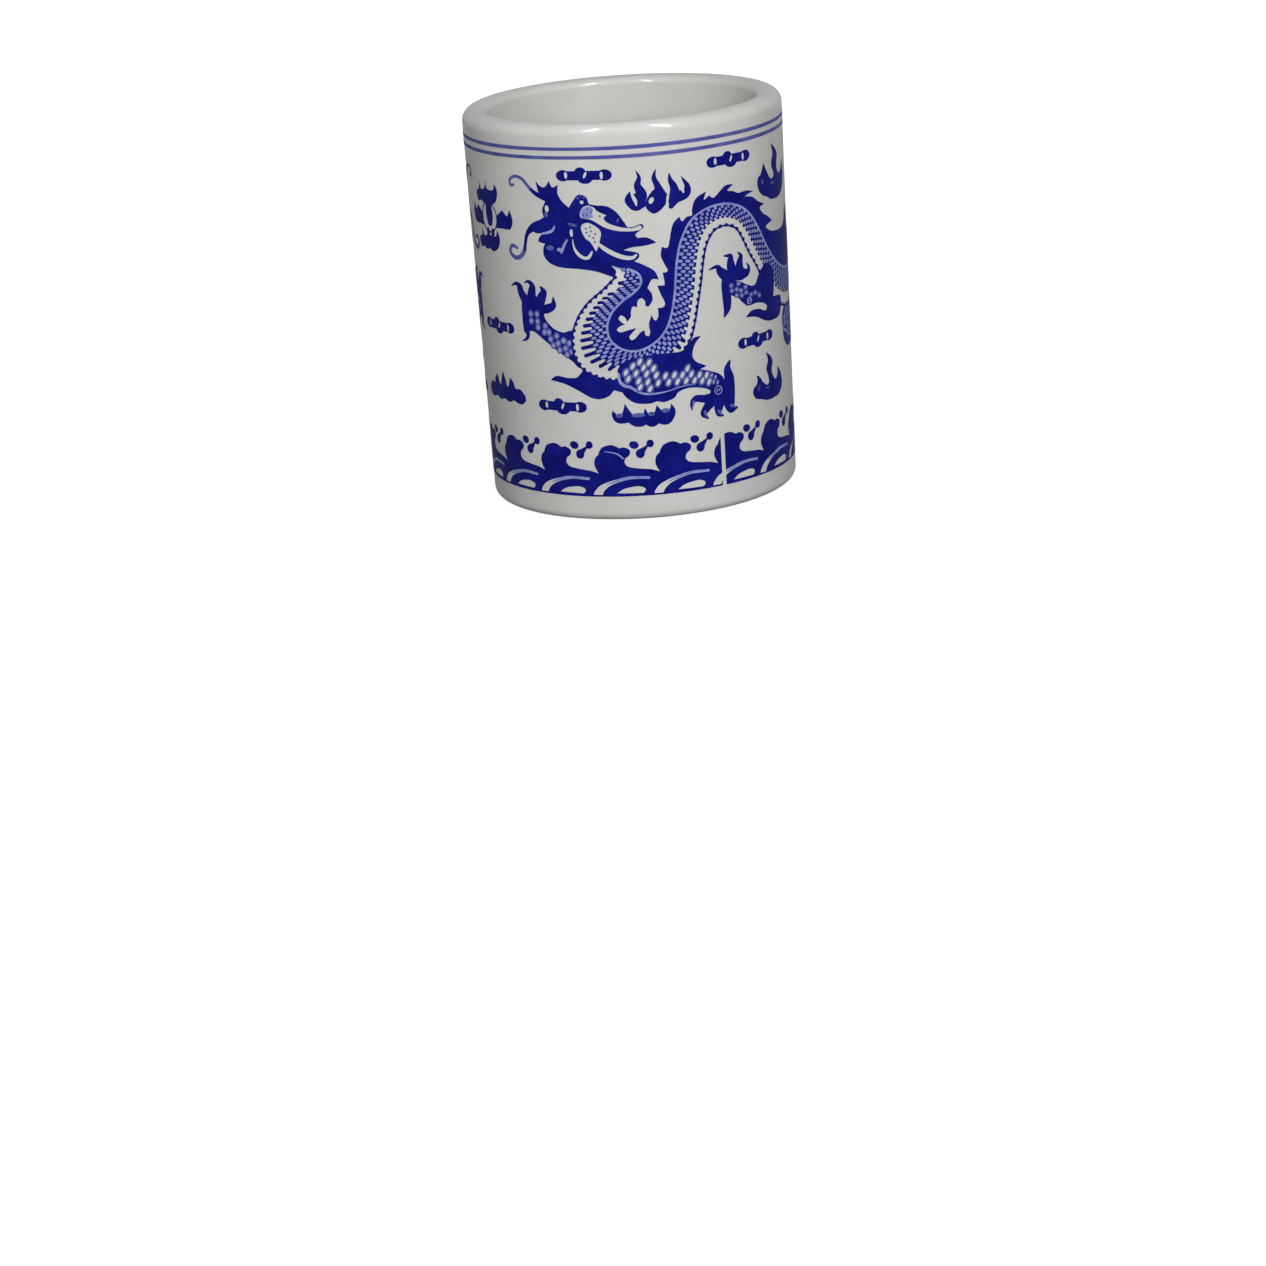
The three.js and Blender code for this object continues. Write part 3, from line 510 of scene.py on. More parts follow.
# The upright flame of three tongues, about the middle of its foot.
FLAME = {
    "outlines": [
        [[-7.3, 6.2, 1], [-6.2, 4.6], [-4.6, 3.6], [-3.3, 2.2], [-5.4, 1.1], [-7.7, 2], [-8.7, 4]],
        [[-3.4, 1.6], [-1.2, -0.2], [1.7, 1.9], [2.2, 4.6], [-0.4, 6.4], [-2.8, 4.2]],
    ],
    "strokes": [
        [[-5.8, 3.2, 2.3], [-4.4, 5, 1.5], [-5.2, 7.6, 0.9], [-4.7, 9.6, 0.5], [-5.4, 11.4, 0.1]],
        [[0.8, 4, 1.6], [-0.1, 7, 0.9], [-0.9, 9.2, 0.6], [-0.4, 11.2, 0.15]],
        [[3.2, 1.3, 0.7], [4.2, 3.4, 1.5], [4.2, 6, 1.1], [3.3, 8.2, 0.6], [3.1, 9.8, 0.2]],
        [[4.4, 3.4, 1.5], [7.2, 4.2, 1.3], [7.8, 6, 0.8], [6.3, 8.7, 0.1]],
        [[-4, 2.6, 0.5], [4, 2.8, 0.5]],
    ],
}

FLAME_LIGHTS = {
    "strokes": [
        [[-7, 6.1, 0.15], [-6.5, 4.7, 0.42], [-6, 3.5, 0.45], [-5.8, 2.4, 0.2]],
        [[5.8, 6.9, 0.2], [6.4, 5.5, 0.45], [6.7, 4.5, 0.2]],
        [[2.4, 4, 0.3], [2.2, 2.4, 0.3], [1.8, 1, 0.25]],
    ],
    "ovals": [[-1.9, 3.3, 0.6, 0.9, -30]],
}

# The low flame with a scalloped foot, about its own centre.
LOW_FLAME = [
    [-7.9, 1.6, 1], [-8.2, 0.1], [-7.6, -1.3], [-6.1, -2.1], [-3.8, -1.9, 1], [-2.6, -2.9], [-0.6, -3.2],
    [0.7, -2.7, 1], [1.6, -3.3], [2.9, -3.4], [4.1, -2.7, 1], [5.6, -3.2], [7.2, -2.8], [8.5, -1.1],
    [8.7, 0.8], [7.6, 2.5, 1], [7.3, 1.1], [6.2, 0.4], [5, 0.9], [3.8, 2.5, 1], [3.2, 0.6], [2.2, -0.2],
    [1.4, 0.4], [0.6, 1.9, 1], [0.1, 0.3], [-1.2, -0.3], [-2.6, 0.3], [-3.6, 1.6], [-4.6, 3.4, 1],
    [-5.2, 1.2], [-6.3, -0.1],
]

LOW_FLAME_WASH = [[-6.2, 0.1, 1, 0.6], [-1.2, 0, 1.8, 0.6], [2.3, 0.1, 0.9, 0.6], [6.1, 0.7, 1.1, 0.6]]

# Half of the low flame under the pearl, from its tallest tongue to the middle of its foot.
AXIS_FLAME_HALF = [
    [0, 5, 1], [1, 2.8], [1.7, 0.9], [2.6, 1.6], [3.4, 3.7, 1], [4.8, 2.6], [5.7, 1], [7.6, 1], [9.3, -0.4],
    [9.6, -1.9], [8, -3.1], [6.2, -3], [4.4, -2.4, 1], [2.4, -3.2], [0, -2.6, 1],
]

# The flame behind the haunch, about the middle of its foot.
HAUNCH_FLAME = [
    [-7.5, 3.2], [-6.4, 1.6], [-4.2, 1], [-2.2, 0.3], [0.2, 0], [2.6, 0.1], [4.9, 0.4], [6.8, 1.8],
    [7.4, 3.6], [6.6, 6.2], [4.8, 8.1, 1], [4.6, 6.2], [3.4, 4.9], [2.1, 6], [1.3, 7.9], [2, 10], [1, 11.8],
    [-1.2, 13.2, 1], [-0.4, 10.9], [-1.3, 8.7], [-0.5, 6.5], [-0.2, 4.9], [-1.3, 4.3], [-3, 5.4],
    [-4.4, 7.1], [-5.8, 7.9, 1], [-5.5, 6.4], [-6, 5.2], [-7.1, 4.7],
]

HAUNCH_FLAME_LIGHTS = [[-4.9, 4.2, 0.3, 0.9, -30], [-1, 3.5, 0.7, 0.3]]

# The like flame over the dragon's back, broader and taller.
BACK_FLAME = [
    [-8.1, 5.4], [-7.3, 3.3], [-5.6, 2], [-3.4, 1.2], [-1.4, 0.2], [1.6, -0.1], [4.8, 0.1], [7.6, 1.3],
    [9.2, 3.4], [9.6, 6], [9, 9.2, 1], [7.4, 6.9], [5.4, 6], [3.6, 7.3], [3.5, 9.3], [4.2, 11.2],
    [2.6, 13.2], [0, 14.9, 1], [0.8, 12], [-0.2, 9.9], [0.1, 8.2], [1.1, 6.6], [0.4, 5.6], [-1.4, 5.9],
    [-3, 7.8], [-4.8, 10.5, 1], [-5.6, 8.9], [-6.4, 7.7], [-7.7, 7.1],
]

BACK_FLAME_LIGHTS = [[-5.7, 5.7, 0.45, 0.8, 10], [0, 4.4, 1.1, 0.35]]

# The pearl in its ring, with a flame over and under it and one at each side.
PEARL_FLAME = [
    [-6, 0.4], [-5.2, -1.9], [-3, -1.6, 1], [-1.4, -2.2], [0.2, -1.7, 1], [2, -2.4], [4.6, -1.2], [5.6, 1.4],
    [4.6, 3.6, 1], [4, 2], [2.6, 1.6], [0.6, 2], [0.2, 4, 1], [-0.6, 2], [-2.6, 1.4], [-3.8, 3.4, 1],
    [-4, 1.4],
]

PEARL_FLAME_PLACES = [[-0.7, 5.8], [-1.2, -6.7]]

PEARL_SIDE_FLAME = [
    [1.8, -2.2], [6.2, -2.4], [9.2, -2.2], [10.3, 0.2], [9.4, 2.9, 1], [8.2, 1.2], [6.4, 2.6, 1], [3.2, 0.2],
]

PEARL_RING = [0, 0, 4, 4.2]
PEARL_LIGHT = [0, 0, 3.6, 3.8]

# The dark drop in the pearl, and the two stems under it.
PEARL_MARKS = [
    [[0, 4.8, 1.3], [0.1, 2.6, 1.5], [0.2, 0.6, 1.7], [0.2, -1.1, 1.3]],
    [[-1.1, -3.6, 0.7], [-1.1, -6.2, 0.8]],
    [[1.4, -3.6, 0.7], [1.2, -6.2, 0.8]],
]

# The dragon, head towards the pearl, each part a closed outline or a stroke.
HEAD = [
    [-4.6, 66.2, 1], [-6.8, 67.1], [-9.4, 68], [-13.5, 68.6], [-18, 68.9], [-21.4, 69.8], [-23.4, 71.8],
    [-23.4, 74.2], [-22.8, 75.1, 1], [-24.9, 75.6, 1], [-24.4, 76.9], [-23.2, 77.9, 1], [-25.6, 77.9],
    [-26.6, 79.2], [-24.6, 81], [-22.6, 82.2, 1], [-22.9, 84.2], [-21.9, 86.4], [-23.2, 87.6], [-23.8, 89.4],
    [-24.3, 91.7, 1], [-22.6, 90.2], [-21.4, 90.4], [-20.3, 91.8, 1], [-19.4, 90.2], [-17.8, 90.9, 1],
    [-18, 88.6], [-17, 86.6], [-15.2, 84.9, 1], [-14, 86.6], [-12.4, 88.3], [-10.4, 87.7], [-9.8, 85.8, 1],
    [-7.8, 85.4], [-5.2, 85.1], [-3, 83.6], [-1.3, 81.2], [-0.2, 79.2, 1], [1.6, 79.4], [3.3, 79.9],
    [3.9, 79], [2.6, 78], [1.7, 77.2], [2.2, 76.3, 1], [4.6, 76.2], [7, 74.7, 1], [4, 74.1], [0.6, 73.9],
    [-1.6, 73.3, 1], [0.6, 72.8], [2.2, 72.2], [2.2, 71.1], [1, 70.2, 1], [3.4, 69], [6, 67.2], [7, 64.8, 1],
    [5.2, 65], [3.8, 62.6, 1], [1.4, 61.6], [-1.5, 65],
]

LOOP_FIN = [
    [1, 63.2], [3.6, 63.2, 1], [4.9, 61.3], [5, 59.4], [3.9, 57.9, 1], [3.1, 58.2], [3.1, 59.4], [2.1, 60.3],
    [1.1, 59.4], [1, 57.9, 1], [-0.2, 58.2], [-0.7, 57], [-0.9, 55.4], [-1.9, 54.2, 1], [-2.4, 55.4],
    [-3.4, 56], [-4.1, 55.1], [-3.3, 54.1], [-2.5, 53.5, 1], [-3.8, 53.1], [-4.7, 52.2], [-3.8, 51.5],
    [-1.6, 52], [0.4, 52.4, 1], [-0.7, 51.2], [-1.6, 50.1], [-0.9, 49.2], [0.3, 50], [1.4, 51.2],
    [2.5, 51.7, 1], [2.6, 50.4], [3.4, 50], [3.9, 51], [3.7, 53.2], [4.6, 55.7, 1], [4.9, 54.6], [5.6, 54],
    [6.3, 55.2], [6.3, 57.3, 1], [7.8, 57.4], [8.2, 58.6], [7.3, 60.8], [6.5, 63.2, 1], [11.6, 63, 1],
    [10.6, 57], [8.4, 51.6], [5.4, 47.6], [1, 45.6], [-4, 46.6], [-7.4, 50], [-7.6, 54], [-5.4, 58],
    [-2.2, 61.2],
]

BACK_FIN = [
    [6.5, 63.2, 1], [8.3, 63], [8.4, 64.6], [8.1, 66.5, 1], [9.5, 66.9], [8.7, 68.8], [7.9, 71],
    [8.3, 73.4, 1], [9.8, 73], [10.4, 74.8], [11, 77.4], [11.8, 79.4], [13.4, 80.8, 1], [14.1, 79.5],
    [15.4, 80.5], [16.9, 80.7], [17, 82.4], [18.2, 84.9], [21.3, 86.4, 1], [20.5, 84.3], [22.1, 85.2, 1],
    [23.4, 84.4], [25.2, 85.6], [27.4, 87], [30.1, 86.9, 1], [27.9, 85.6], [29.8, 85.1], [31.6, 84.3],
    [34.4, 84.4], [37.6, 83.8, 1], [34.2, 83], [37, 82.3], [39.4, 80.7], [42.4, 79.4, 1], [40.2, 78.8],
    [41.6, 77], [43.8, 75.9], [46.5, 74.2, 1], [42.8, 73.3], [44.8, 71.8], [48, 71.1], [52.4, 70.9],
    [55.6, 71.7], [57.4, 74.2], [58.6, 76.4, 1], [59.8, 72.6], [61.6, 69.4], [65.6, 68.4, 1], [65, 63.8],
    [68.6, 67.4], [70.6, 73, 1], [71.4, 70.2], [73.6, 74.6], [77.4, 81.2, 1], [77.8, 78], [78, 76, 1],
    [72, 67.5], [66, 61], [57, 58.6], [48, 61.6], [41, 68], [36, 76], [30, 80.4], [23, 80.6], [17.2, 77.4],
    [14.4, 72], [12.8, 66], [11.6, 59.5, 1],
]

# The body from the neck to the tail. Each station holds the ridge and the belly as [along, up, along, up].
BODY_COURSE = [
    [-3.6, 68.9, -5, 69.3], [-0.6, 68.2, -3.9, 67.9], [1.9, 66.9, -4.5, 66.2], [2.7, 65.2, -6.2, 64.5],
    [2.2, 63.4, -8.2, 62.7], [0.4, 61.7, -10.4, 61], [-2.2, 60, -12.4, 59.2], [-5.3, 57, -15, 55.8],
    [-6.8, 53.4, -16.8, 51.8], [-6.4, 50, -17.3, 47.6], [-4.6, 47.9, -16.4, 43.8], [-2.4, 46.8, -13.6, 40.6],
    [0, 46.5, -7, 38.4], [2.2, 46.9, 1.5, 39.6], [4.6, 48.1, 7.6, 42.5], [6.8, 50, 11.8, 44.2],
    [8.6, 52.7, 14.6, 47.6], [9.8, 56.2, 16.2, 52], [10.7, 60.4, 17.4, 57.2], [11.2, 64.6, 18.6, 62.6],
    [11.8, 69.2, 19.6, 68.2], [13.2, 74.4, 20.8, 72.4], [16.2, 79.4, 22.8, 75.3], [20.8, 82, 25.2, 76.3],
    [26.4, 82.5, 27.8, 76.2], [31.6, 81.1, 30.4, 74.8], [35.8, 78.2, 32.4, 71.8], [39.2, 73.8, 34.4, 68],
    [42.8, 68.3, 37.4, 63.6], [47, 63.9, 40.6, 58.2], [52, 61, 46.2, 52.4], [57.6, 59.8, 54, 49.2],
    [63, 60.6, 63, 49.6], [67.4, 63.6, 70.4, 54], [70.6, 68, 75, 61], [73.8, 73, 78, 68],
    [78, 77.6, 80.6, 73.6], [83, 80.6, 83.4, 79.2],
]

# How far across the scales reach at each station, and how much farther the dark bars do.
SCALE_REACH = [
    *[0.6] * 7, 0.58, 0.55, 0.53, 0.55, 0.58, 0.62, 0.7, *[0.74] * 4, 0.75, 0.74, 0.73, 0.71, 0.67,
    *[0.64] * 5, *[0.66] * 10,
]
BAR_REACH = [
    *[0.04] * 3, 0.05, 0.05, 0.06, 0.06, 0.08, 0.14, 0.2, 0.18, 0.1, 0.05, 0.04, 0.04, 0.05, 0.05,
    *[0.04] * 21,
]
BODY_STATIONS = [[*place, *reach] for place, *reach in zip(BODY_COURSE, SCALE_REACH, BAR_REACH)]

ROWS_PER_STATION = 8
RIDGE_START = ROWS_PER_STATION
BELLY_START = ROWS_PER_STATION * 2
RIDGE_LINE = 0.035
RIDGE_HALF_WIDTH = 0.3
BELLY_LINE = 0.98
BELLY_HALF_WIDTH = 0.26
BEAD_LINE = 0.96
BEAD_PITCH = 1.9
BEAD_RADIUS = 0.55

SCALE_PITCH = 1.85
SCALE_LINE = 0.35  # the share of the width where the pitch is measured
SCALE_TONES = (PALE, PALE, PALE, PALE, BARE)  # from the ridge outwards
RIDGE_MARGIN = 1.1  # from the ridge to the first line of scales, in lines
EDGE_MARGIN = 0.4
SCALE_LENGTH = 0.62  # half of it, as a share of the width of a line
SCALE_WIDTH = 0.215  # half of it, as a share of the way to the next scale
SCALE_WIDTH_RANGE = 0.1, 0.45
BAR_OVERLAP = 0.04
BAR_HALF_WIDTH = 0.5
LEAST_BAR = 0.05

WHISKERS = [
    [[-22, 87.4, 0.8], [-24.4, 88.3, 0.6], [-26.4, 89.8, 0.5], [-28.6, 92, 0.45], [-31, 92.6, 0.42],
        [-32.9, 91.6, 0.42], [-32.7, 90.1, 0.4], [-31.6, 90.4, 0.3]],
    [[-23, 80.4, 1.3], [-26, 79.4, 1.1], [-28.2, 77.6, 0.6], [-29.1, 75.2, 0.5], [-29.7, 73, 0.6],
        [-31.2, 71.2, 0.6], [-33.4, 70.8, 0.6], [-35, 72.3, 0.5], [-34, 73.9, 0.5], [-32.2, 73.4, 0.4]],
]

# The dark part of each whisker, next to the head.
WHISKER_ROOTS = [
    [*WHISKERS[0][:2], [-26, 89.4, 0.35]],
    [*WHISKERS[1][:3], [-29.1, 75.2, 0.4], [-29.7, 73, 0.3]],
]

TAIL_TUFT = [
    [[79.5, 76.4, 2.2], [83, 80, 1.4], [85.4, 83.6, 0.9], [85.2, 88, 0.15]],
    [[80.5, 76.2, 1.2], [83.6, 77.2, 0.9], [86.4, 75.6, 0.2]],
]

FORE_LEG = {
    "outlines": [
        [[-16.4, 51.7], [-19.5, 51.5], [-22.2, 52.4], [-24.6, 54.8], [-25.6, 57.4], [-30.5, 57.4],
            [-31.2, 51.6], [-28.6, 51.1], [-25.2, 48.9], [-21.5, 46.3], [-17.6, 43.9], [-15.2, 42],
            [-12.5, 46]],
    ],
    "strokes": [
        [[-31.3, 51.4, 1.1], [-31.3, 55, 1.2], [-30.5, 58.6, 1.7], [-28.4, 59.2, 1.9], [-26.2, 57.8, 1.6]],
        [[-30.4, 58.8, 1.6], [-32.2, 61.4, 1.2], [-32.6, 62.9, 1], [-33.9, 63.7, 0.5], [-35.7, 62.9, 0.15]],
        [[-28.8, 59, 1.8], [-28.4, 61.8, 1.3], [-28.1, 63.5, 0.9], [-29.2, 64.6, 0.5], [-30.5, 64.3, 0.2]],
        [[-26.6, 58.4, 1.7], [-25.1, 60.9, 1.3], [-24.5, 62.3, 0.9], [-25.5, 63.5, 0.2]],
        [[-25.8, 57.3, 1.2], [-23.4, 57.8, 1.2], [-21.8, 58.8, 0.9], [-21.7, 60.8, 0.2]],
        [[-31.3, 52, 1], [-30.9, 50.2, 0.6], [-31.5, 49, 0.45], [-33.1, 48.2, 0.15]],
    ],
}

ELBOW_FLAME = [
    [-24.5, 38.3, 1], [-22.4, 39.6], [-19, 39.2], [-16.4, 39.5], [-14.6, 41.4, 1], [-11, 43], [-7, 44],
    [-3, 43], [-3.4, 37.4], [-4.2, 35.2, 1], [-6.6, 35.9, 1], [-8, 34.4], [-10.4, 33.6], [-13, 34],
    [-16.5, 35.9], [-20.5, 37.6],
]

LOWER_LEG = {
    "outlines": [
        [[-5.2, 40.5], [-4.6, 36], [-3.4, 33.8], [-1, 32.2], [2.4, 31.8], [4.6, 32.3, 1], [6.6, 31.9],
            [9.2, 32.7], [10.6, 34.2], [13.6, 34.9], [17.4, 34.3], [19.6, 33.2, 1], [19.4, 32], [22, 30.5],
            [24.8, 31.5], [24.2, 35], [22.6, 37.2], [19.8, 38.5], [16.9, 39.5, 1], [18.8, 40.1, 1],
            [16, 41.6], [14.9, 43.2], [15.2, 45.2], [16, 46.8], [17.6, 48.4, 1], [15.4, 48.1], [13.6, 46.2],
            [11.4, 45], [6, 45], [-2, 44]],
    ],
    "strokes": [
        [[26, 40.3, 0.25], [25.1, 38.2, 1.1], [25.6, 35.2, 1.6], [25.6, 31.5, 1.6], [25.2, 29.2, 1.8],
            [25.8, 27.2, 1.2], [27.9, 27.2, 0.2]],
        [[22.4, 30.6, 1.9], [21.7, 28, 1.3], [21.8, 26.5, 0.8], [23.1, 25.8, 0.2]],
        [[20, 30.6, 1.7], [18.2, 28.8, 1.2], [17.2, 27.2, 0.9], [18.5, 25.8, 0.2]],
        [[21.5, 31.2, 1.5], [17.8, 31.3, 1.1], [15.2, 31.7, 0.9], [14, 30.6, 0.6], [13.9, 28.8, 0.15]],
    ],
}

HIND_LEG = {
    "outlines": [
        [[27.2, 61.4], [30.6, 60.8], [33.4, 59.5], [36.4, 58.8], [39.2, 62.2], [43, 63.4], [46, 60],
            [45, 53], [43, 51.2], [40.2, 53], [37, 53.8], [33.4, 53.7], [31.4, 55], [29.8, 56.6],
            [27.6, 57.8]],
        [[32.4, 50.8, 1], [34.6, 52.1], [37.6, 52], [41, 51], [43, 53.4], [50, 53], [49, 48.2], [44, 47.6],
            [40.4, 48.3], [36.6, 50]],
    ],
    "strokes": [
        [[25, 52.4, 0.3], [26, 54.6, 1.2], [26.1, 58, 1.5], [26.4, 61.5, 1.8], [28.2, 63.2, 2],
            [31.4, 62.8, 1.8]],
        [[26.6, 62.6, 1.6], [24.4, 64.6, 1.2], [23.4, 66, 0.6], [21, 65.6, 0.15]],
        [[28.2, 63.5, 1.8], [27.8, 66.4, 1.2], [27.8, 68.1, 0.7], [25.8, 68.5, 0.2]],
        [[30.6, 63.5, 1.7], [31, 66, 1.1], [31.5, 67.6, 0.6], [30.4, 68.7, 0.15]],
        [[31.2, 62.6, 1.5], [33.4, 62.7, 1.1], [34.3, 63.8, 0.6], [33.6, 65.2, 0.15]],
    ],
}

FORE_LEG_SPOTS = [
    [-24.8, 53], [-27.2, 52.4], [-29.3, 54], [-27.2, 54], [-29.3, 55.9], [-27.2, 56], [-23.8, 51.3],
    [-25.2, 51.2], [-21.5, 50.5], [-23.4, 49.5], [-19.5, 49.3], [-21.2, 48.5], [-19.1, 47.2], [-20.9, 46.6],
    [-18.8, 45.5], [-22.7, 47.8], [-17.9, 48.6], [-17.4, 46.4],
]

THIGH_EDGE = [
    [-5, 40.2, 0.3], [-4.9, 38.4, 0.4], [-3.8, 37.1, 0.42], [-2.2, 36.6, 0.4], [-0.6, 35.5, 0.35],
    [1, 34.7, 0.3], [3, 34.4, 0.26], [6, 34.5, 0.22], [8.4, 34.9, 0.18], [11, 35.5, 0.14], [14.2, 35.7, 0.1],
]

THIGH_SPOTS = [
    [-3.1, 40.6], [-1.2, 42.2], [1.6, 41.6], [4.2, 41.2], [-2.6, 38.8], [-0.5, 40.2], [2.3, 39.9],
    [4.8, 39.3], [7.2, 38.9], [9.6, 38.9], [11.8, 38.6], [14.3, 38.5], [16.6, 38], [0.1, 38.1], [2.5, 37.7],
    [5.2, 37.2], [8, 37.1], [10.4, 37], [12.8, 36.9], [15.1, 36.7], [17.3, 36.3], [0.4, 36.4], [3, 35.8],
    [0.7, 43.3], [3.1, 42.9], [13.3, 40.2], [18.6, 37.6], [19.3, 35.7],
]

ANKLE_SPOTS = [[20.1, 37.3], [21.2, 36.6], [20.6, 35.4], [21.8, 35.1]]

CLAW_LIGHTS = [
    [[14.5, 31, 0.4], [14, 29.3, 0.12]],
    [[17.6, 27.8, 0.45], [17.9, 26.2, 0.12]],
    [[21.8, 27.2, 0.45], [22.6, 26, 0.12]],
    [[25.8, 28.1, 0.5], [27.2, 27.3, 0.12]],
]

HIND_LEG_SPOTS = [
    [27.7, 60.2], [27.8, 58.8], [29.5, 58.9], [31, 58.3], [29.4, 57.3], [31.2, 56.9], [32.9, 57.4],
    [34.8, 56.5], [36.5, 56.7], [30.2, 60.3], [32.7, 58.9], [38.2, 55.6],
]

# The lights on the head: the cheek, and the temple with the upper horn.
CHEEK = [
    [-12.3, 79.2], [-11.9, 80.4], [-10.4, 80.9], [-8.9, 80.2], [-7.6, 79.2], [-7.1, 77.9], [-7.5, 76.4],
    [-7.9, 74.8], [-8.7, 73.2, 1], [-9.4, 74.6], [-10.2, 75.9], [-11.4, 76.9],
]

TEMPLE = [
    [-12.2, 82.3], [-12.2, 83.8], [-11.3, 85], [-9.9, 85.4], [-8.5, 84.8], [-7.7, 83.9], [-6.4, 83.2],
    [-5.4, 82.7, 1], [-6.2, 82], [-5.5, 80.9], [-3.8, 80], [-1.6, 79.3], [0.4, 79], [2, 79.2], [2.9, 79.6],
    [3.5, 79.1], [3.1, 78.5], [1.8, 78.2], [-0.6, 78.2], [-3.4, 78.6], [-6, 79.5], [-7.8, 80.6],
    [-9.2, 81.5], [-10.6, 81.9],
]

TEMPLE_WASH = [
    [-12, 82.4], [-12.1, 83.8], [-11.2, 84.8], [-9.6, 85.1], [-8.7, 84.3], [-9.3, 83.3], [-8.8, 82.5],
    [-9.9, 82], [-11.2, 82.1],
]

MOTTLES = [
    [-11, 79.3], [-9.9, 79.7], [-10.9, 78.3], [-9.7, 78.6], [-9.2, 76.8], [-8.9, 75.7], [-10.2, 77.4],
    [-8.6, 77.9], [-11.4, 83], [-10.2, 84.4], [-10.5, 82.9], [-9.3, 83.6], [-12.6, 87.4], [-10.9, 87.5],
    [-11.8, 88], [-7.1, 82.5],
]

MOTTLE_RADIUS = 0.28

CHIN_LIGHT = [-18.7, 73.7, 0.7, 0.5]

FACE_SHADES = [
    [-14.6, 80.4, 1.3, 0.4, -15], [-21.8, 83, 0.5, 0.8], [-2.6, 81.2, 0.25, 0.7, -20],
    [-21.4, 74.1, 1.1, 0.7],
]

FACE_LIGHTS = [[-11.6, 86.3, 0.5], [-15, 78.2, 0.45, 1.05], [-21.5, 84.5, 0.6, 0.9]]

JOWL = [
    [-14.8, 76.4, 0.12], [-14.6, 74.6, 0.25], [-14, 73.2, 0.4], [-13, 72.1, 0.45], [-11.8, 71.5, 0.42],
    [-10.7, 71.8, 0.45], [-9.8, 73.2, 0.25],
]

HORN = [
    [-7.9, 75.2, 0.35], [-6.6, 74, 0.55], [-4.8, 72.8, 0.6], [-2.8, 71.8, 0.6], [-0.8, 71.2, 0.55],
    [0.7, 71.2, 0.45], [1.5, 71.8, 0.3],
]

LIP = [[-16.2, 76.4, 0.2], [-17, 75.4, 0.32], [-17.6, 74.2, 0.35], [-18.2, 72.9, 0.25]]

MOUTH = [[-19.6, 79.9, 0.2], [-20.3, 78.8, 0.35], [-21.6, 78.2, 0.35], [-23.6, 77.8, 0.25]]

# The ring of an ankle: its middle and size, how wide it is, and the strokes in it, about its middle.
LOWER_ANKLE = [21.9, 33, 1.25]
HIND_ANKLE = [34, 55, 1]
RING_WIDTH = 0.3
RING_MARKS = [[-0.3, 0, 0.22, 0.55, -25], [0.4, 0.1, 0.18, 0.45, -25]]

# The fourth leg is like the lower one, this far along and up from it.
FOURTH_LEG_PLACE = [56, 6]

# One drop spray, about the middle of the gap between two crests.
SPRAY = {
    "strokes": [[[-0.5, 18.6, 1.1], [0.6, 19.6, 0.6], [1.4, 20.3, 0.32], [2.2, 20.9, 0.5]]],
    "ovals": [[-2.05, 20.85, 1.3, 1.05, -15], [-0.5, 18.4, 1.2, 1.25], [2.3, 21, 1, 1.05]],
}

# One crest of the border, about its middle, then the lights in it.
CREST_HEAD = [
    [5.1, 14.7], [4, 15.2], [3.4, 16.1], [3.7, 17.3, 1], [4.7, 18], [5.1, 18.9], [4.7, 19.8], [3.4, 20.3],
    [2.2, 20.1, 1], [1.4, 20.6], [0.3, 21], [-1, 20.9], [-2.5, 20.3], [-3.3, 19.2], [-3.6, 18.4, 1],
    [-4.6, 17.3], [-4.9, 15.6], [-4.4, 14.2], [-3.8, 13.2, 1], [-6, 13.9],
]
CREST_ARC = [
    [-4.4, 7.4, 1.2], [-3.4, 8.9, 0.95], [-1.4, 10.2, 0.6], [1.4, 11.2, 0.45], [5, 11.9, 0.38],
    [9.7, 11.7, 0.33],
]
CREST_PALE = [[-1.9, 10.1, 0.08], [1.4, 11.2, 0.45], [5, 11.9, 0.4], [9.7, 11.7, 0.35]]
CREST_LENS = [[0.9, 7.7, 1], [2.6, 8.8], [4.6, 9.3], [6.6, 9.5], [8.2, 9.1], [8.6, 8.3], [8, 7.6, 1]]

BORDER_BOTTOM = 6.8
FOOT_LINE = 0.5
CREST_SHOULDER = 14.2
ABOVE_BORDER = 25

# The light line that parts one crest of the border.
PARTING = [[253.7, 19.2, 0.08], [256, 18.9, 0.16], [257.6, 18.2, 0.24], [258.6, 17.2, 0.2]]


def cloud():
    return ink(DARK, **CLOUD) + ink(BARE, ovals=CLOUD_LIGHTS)


def flame():
    return ink(DARK, **FLAME) + ink(BARE, **FLAME_LIGHTS)


def low_flame():
    return ink(DARK, outlines=[LOW_FLAME]) + ink(MID, ovals=LOW_FLAME_WASH)


def flipped(points):
    """The mirror image of an outline about its own upright axis."""
    return [[-s, z, *more] for s, z, *more in points]


def axis_flame():
    return ink(DARK, outlines=[AXIS_FLAME_HALF + flipped(AXIS_FLAME_HALF[-2:0:-1])])


def haunch_flame():
    return ink(DARK, outlines=[HAUNCH_FLAME]) + ink(MID, ovals=HAUNCH_FLAME_LIGHTS)


def back_flame():
    return ink(DARK, outlines=[BACK_FLAME]) + ink(MID, ovals=BACK_FLAME_LIGHTS)


def pearl():
    flames = [[[s + ds, z + dz, *more] for s, z, *more in PEARL_FLAME] for ds, dz in PEARL_FLAME_PLACES]
    flames += [PEARL_SIDE_FLAME, flipped(PEARL_SIDE_FLAME)]
    layers = ink(DARK, outlines=flames, ovals=[PEARL_RING]) + ink(BARE, ovals=[PEARL_LIGHT])
    return layers + ink(DARK, strokes=PEARL_MARKS)


def across(row, share):
    """The place at a share of the way from the ridge to the belly."""
    return lerp(row[0], row[2], share), lerp(row[1], row[3], share)


